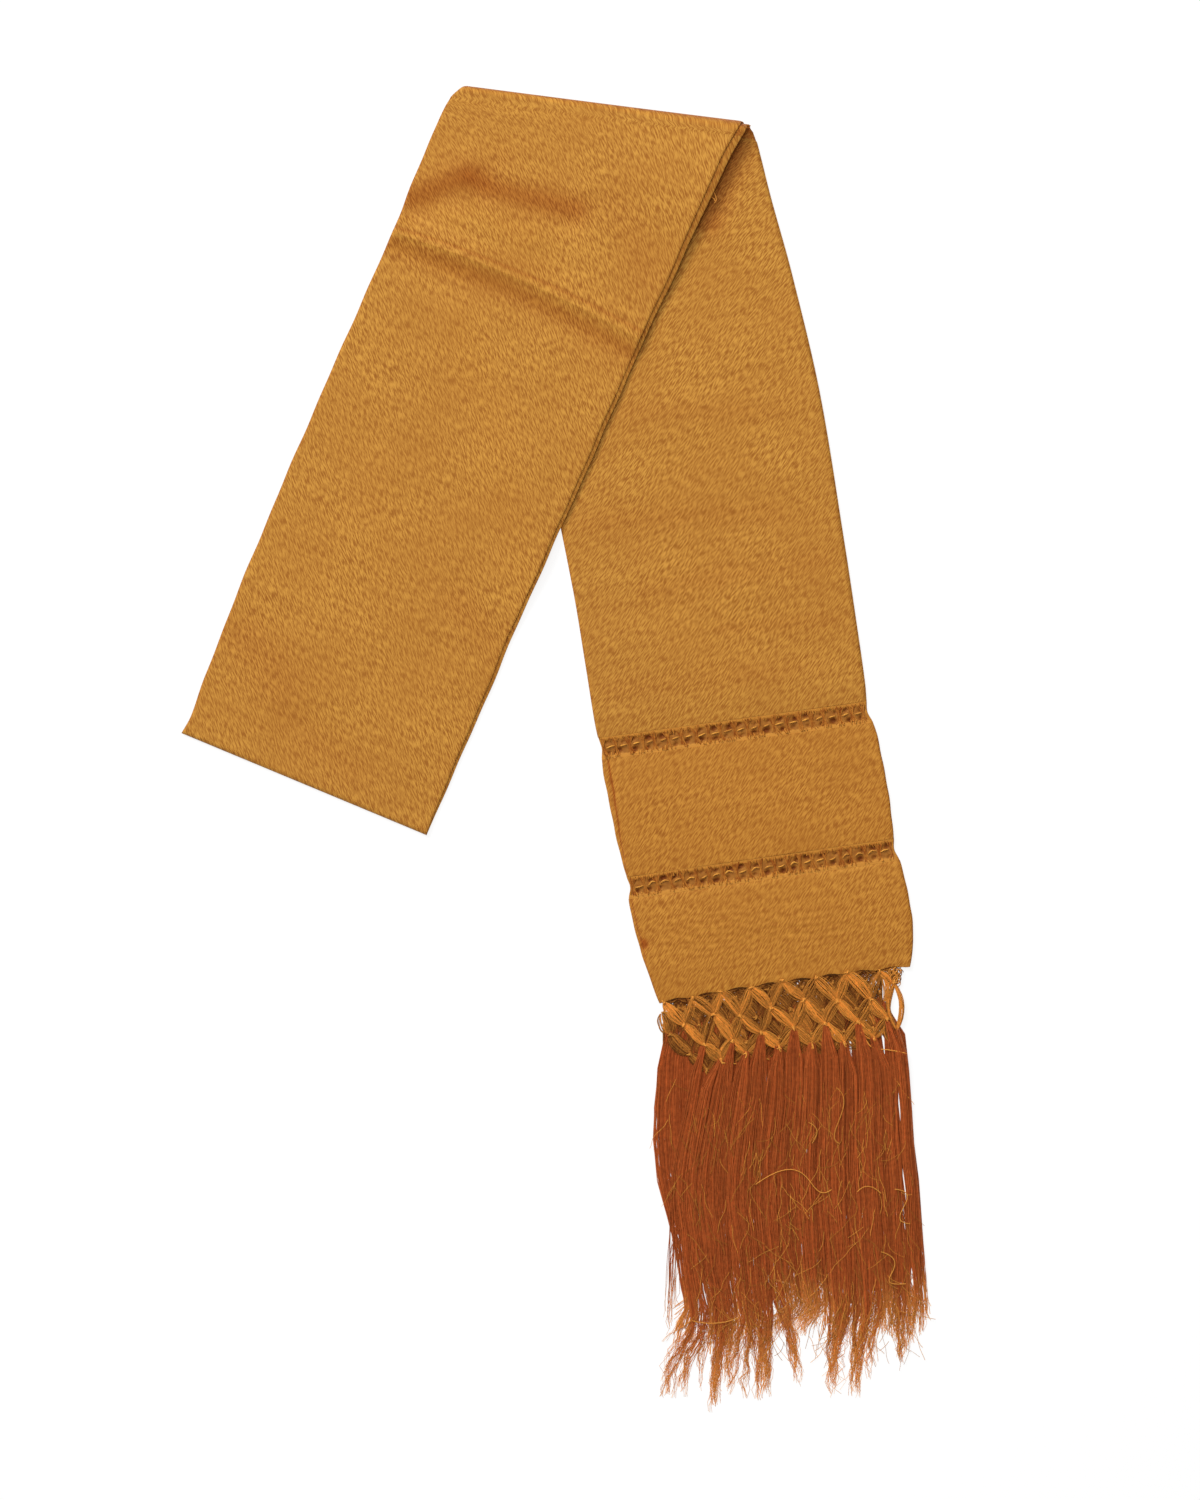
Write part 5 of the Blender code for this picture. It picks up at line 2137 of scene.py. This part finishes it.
@dataclass
class StrayThreads:
    """The bright threads that have come loose, and the frizz on the fringe."""

    hairs: int = 420
    tangled: int = 64
    seed: int = 31
    fine: np.ndarray = field(default_factory=lambda: np.linspace(0, 1, 24))

    def build(self) -> bpy.types.Object:
        """Lay each one on the fringe.

        Returns:
            The object.
        """
        threads = Threads(self.fine)
        rng = np.random.default_rng(self.seed)
        for stray in STRAYS:
            x, down = self.through(stray.places)
            z = stray.height + 0.3 * np.sin(9 * self.fine + rng.uniform(0, 6))
            threads.lay(from_fold(x, down, z), stray.tone, stray.radius)
        for _ in range(self.hairs):
            threads.lay(self.hair(rng), rng.uniform(0.3, 0.95), rng.uniform(0.10, 0.18))
        for _ in range(self.tangled):
            threads.lay(self.tangle(rng), rng.uniform(0.05, 1.0), rng.uniform(0.2, 0.4))
        radii = np.array(threads.radii)[:, None]
        made = threads.make("stray_threads", NET_FLOSS, 4, radii, threads.tones)
        return made

    def hair(self, rng: np.random.Generator) -> np.ndarray:
        """One wavy hair on the fringe, more of them low down and at the right.

        Args:
            rng: where the chances come from.

        Returns:
            Its points.
        """
        outline = Curve(FRINGE_OUTLINE)
        down = 900.0 - 190.0 * rng.random() ** 1.4
        left, right = outline.row(down, "left", "right")
        x = left + (right - left) * (0.03 + 0.94 * rng.random() ** 0.8)
        heading, length = rng.normal(0.0, 0.45), rng.uniform(9.0, 30.0)
        turn, wave = rng.normal(0.0, 0.5), rng.uniform(0.2, 0.9)
        at, phase = self.fine * length, rng.uniform(0, 6)
        slant = heading + turn * self.fine
        x = x + np.cumsum(np.sin(slant)) * length / len(at) + wave * np.sin(at / 3.0 + phase)
        down = down + np.cumsum(np.cos(slant)) * length / len(at) - length / 2
        low = ease((down - 850.0) / 70.0)
        return from_fold(x, down, 3.5 - 2.2 * low + 0.3 * np.sin(at / 4.0))

    def tangle(self, rng: np.random.Generator) -> np.ndarray:
        """One thread of the frayed corner at the net's right end.

        Args:
            rng: where the chances come from.

        Returns:
            Its points.
        """
        x, down = 211.5 + rng.uniform(-6.0, 3.5), 627.5 + rng.uniform(-4.5, 4.5)
        size, phase, turns = rng.uniform(1.4, 4.0), rng.uniform(0, 6), rng.uniform(0.4, 1.3)
        angle = phase + 2 * math.pi * turns * self.fine
        x = x + size * np.cos(angle) * (0.6 + 0.4 * self.fine)
        down = down + size * np.sin(angle) * (1.2 - 0.5 * self.fine)
        return from_fold(x, down, rng.uniform(0.8, 3.6) + 0.5 * np.sin(2 * angle))

    def through(self, places: tuple[tuple[float, float], ...]) -> list[np.ndarray]:
        """A smooth line through a few places.

        Args:
            places: x and down of each one.

        Returns:
            x and down of the line's points.
        """
        at = np.linspace(0, 1, len(places))
        degree = min(3, len(places) - 1)
        return [np.polyval(np.polyfit(at, values, degree), self.fine) for values in zip(*places)]


# The studio


@dataclass(frozen=True)
class SoftLight:
    """A large soft light, aimed at the shawl."""

    name: str
    azimuth: float          # where it stands, from +X towards +Y
    elevation: float
    distance: float
    size: float
    power: float


@dataclass(frozen=True)
class Studio:
    """A pale surface, soft lights and the camera of the photograph."""

    lights: tuple[SoftLight, ...] = (
        SoftLight("key", 124.0, 42.0, 6.0, 2.7, 245.0),
        SoftLight("overhead", 110.0, 74.0, 5.0, 2.4, 110.0),
    )
    sky: float = 0.22
    camera_height: float = 4.0
    sensor: float = 36.0
    surface_half: float = 6.0
    surface_tone: float = 0.16
    surface_glow: float = 0.84

    def build(self) -> None:
        """Set up the surface, the lights and the camera."""
        self.surface()
        centre = Vector((FRAME_CENTRE[0] * MM, FRAME_CENTRE[1] * MM, 0.0))
        for light in self.lights:
            self.light(light, centre)
        world = bpy.data.worlds.new("studio")
        bpy.context.scene.world = world
        world.use_nodes = True
        sky = world.node_tree.nodes["Background"]
        sky.inputs[0].default_value = (1.0, 0.985, 0.96, 1.0)
        sky.inputs[1].default_value = self.sky
        camera = bpy.data.objects.new("camera", bpy.data.cameras.new("camera"))
        bpy.context.scene.collection.objects.link(camera)
        camera.location = centre + Vector((0.0, 0.0, self.camera_height))
        camera.data.sensor_width = self.sensor
        camera.data.lens = self.sensor * self.camera_height / PHOTO_HEIGHT
        bpy.context.scene.camera = camera
        bpy.context.scene.view_settings.view_transform = "Standard"

    def surface(self) -> None:
        """Lay the plain pale surface."""
        mesh = bpy.data.meshes.new("surface")
        half = self.surface_half
        corners = [(-half, -half, 0), (half, -half, 0), (half, half, 0), (-half, half, 0)]
        mesh.from_pydata(corners, [], [(0, 1, 2, 3)])
        material, _, shader = start_material("pale_surface")
        shader.inputs["Base Color"].default_value = (*[self.surface_tone] * 3, 1.0)
        shader.inputs["Roughness"].default_value = 0.9
        shader.inputs["Emission Color"].default_value = (1.0, 1.0, 1.0, 1.0)
        shader.inputs["Emission Strength"].default_value = self.surface_glow
        mesh.materials.append(material)
        floor = bpy.data.objects.new("surface", mesh)
        bpy.context.scene.collection.objects.link(floor)

    def light(self, light: SoftLight, centre: Vector) -> None:
        """Place one light.

        Args:
            light: the light.
            centre: what it is aimed at.
        """
        data = bpy.data.lights.new(light.name, "AREA")
        data.shape, data.size, data.energy = "DISK", light.size, light.power
        made = bpy.data.objects.new(light.name, data)
        bpy.context.scene.collection.objects.link(made)
        around, up = math.radians(light.azimuth), math.radians(light.elevation)
        level = math.cos(up)
        away = Vector((math.cos(around) * level, math.sin(around) * level, math.sin(up)))
        made.location = centre + away * light.distance
        made.rotation_mode = "QUATERNION"
        made.rotation_quaternion = away.to_track_quat("Z", "Y")


def main() -> None:
    """Build every piece, then the studio."""
    band = FoldedBand().build()
    seam = SEAM_GAP / 2
    middle = PlainBand(
        "middle_cloth", "middle_band", ROW_1_START + ROW_LENGTH + seam, ROW_2_START - seam
    ).build()
    end = PlainBand(
        "end_cloth", "end_band", ROW_2_START + ROW_LENGTH + seam, CLOTH_END, scallop=0.8, bow=2.1
    ).build()
    row_1 = OpenworkRow("row_1", "openwork_row_1", ROW_1_START, seed=3).build()
    row_2 = OpenworkRow("row_2", "openwork_row_2", ROW_2_START, seed=8, rounder=True).build()
    nets = Net(
        "net_lower", "net_lower", 0.8, LOW_SHIFT, seed=41, shade=0.34, wide=1.6, backing=900,
        header=560,
    ).build()
    nets += Net("net_upper", "net_upper", 2.4, (0.0, 0.0), seed=42, loose=LOOSE_BUNDLES).build()
    fringes = [
        Fringe(
            "fringe_lower_threads", "fringe_lower", LOWER_LOCKS, LOWER_ROOTS, 1250,
            low=-0.1, high=1.6, seed=51, spread=0.8, steps=15, thickness=0.42, shade=0.12,
        ).build(),
        Fringe(
            "fringe_upper_threads", "fringe_upper", UPPER_LOCKS, UPPER_ROOTS, 1600,
            low=1.6, high=3.0, seed=52, indent=24.0,
        ).build(),
    ]
    stray = StrayThreads().build()
    Studio().build()


if __name__ == "__main__":
    logging.basicConfig(level=logging.INFO, format="%(message)s")
    main()
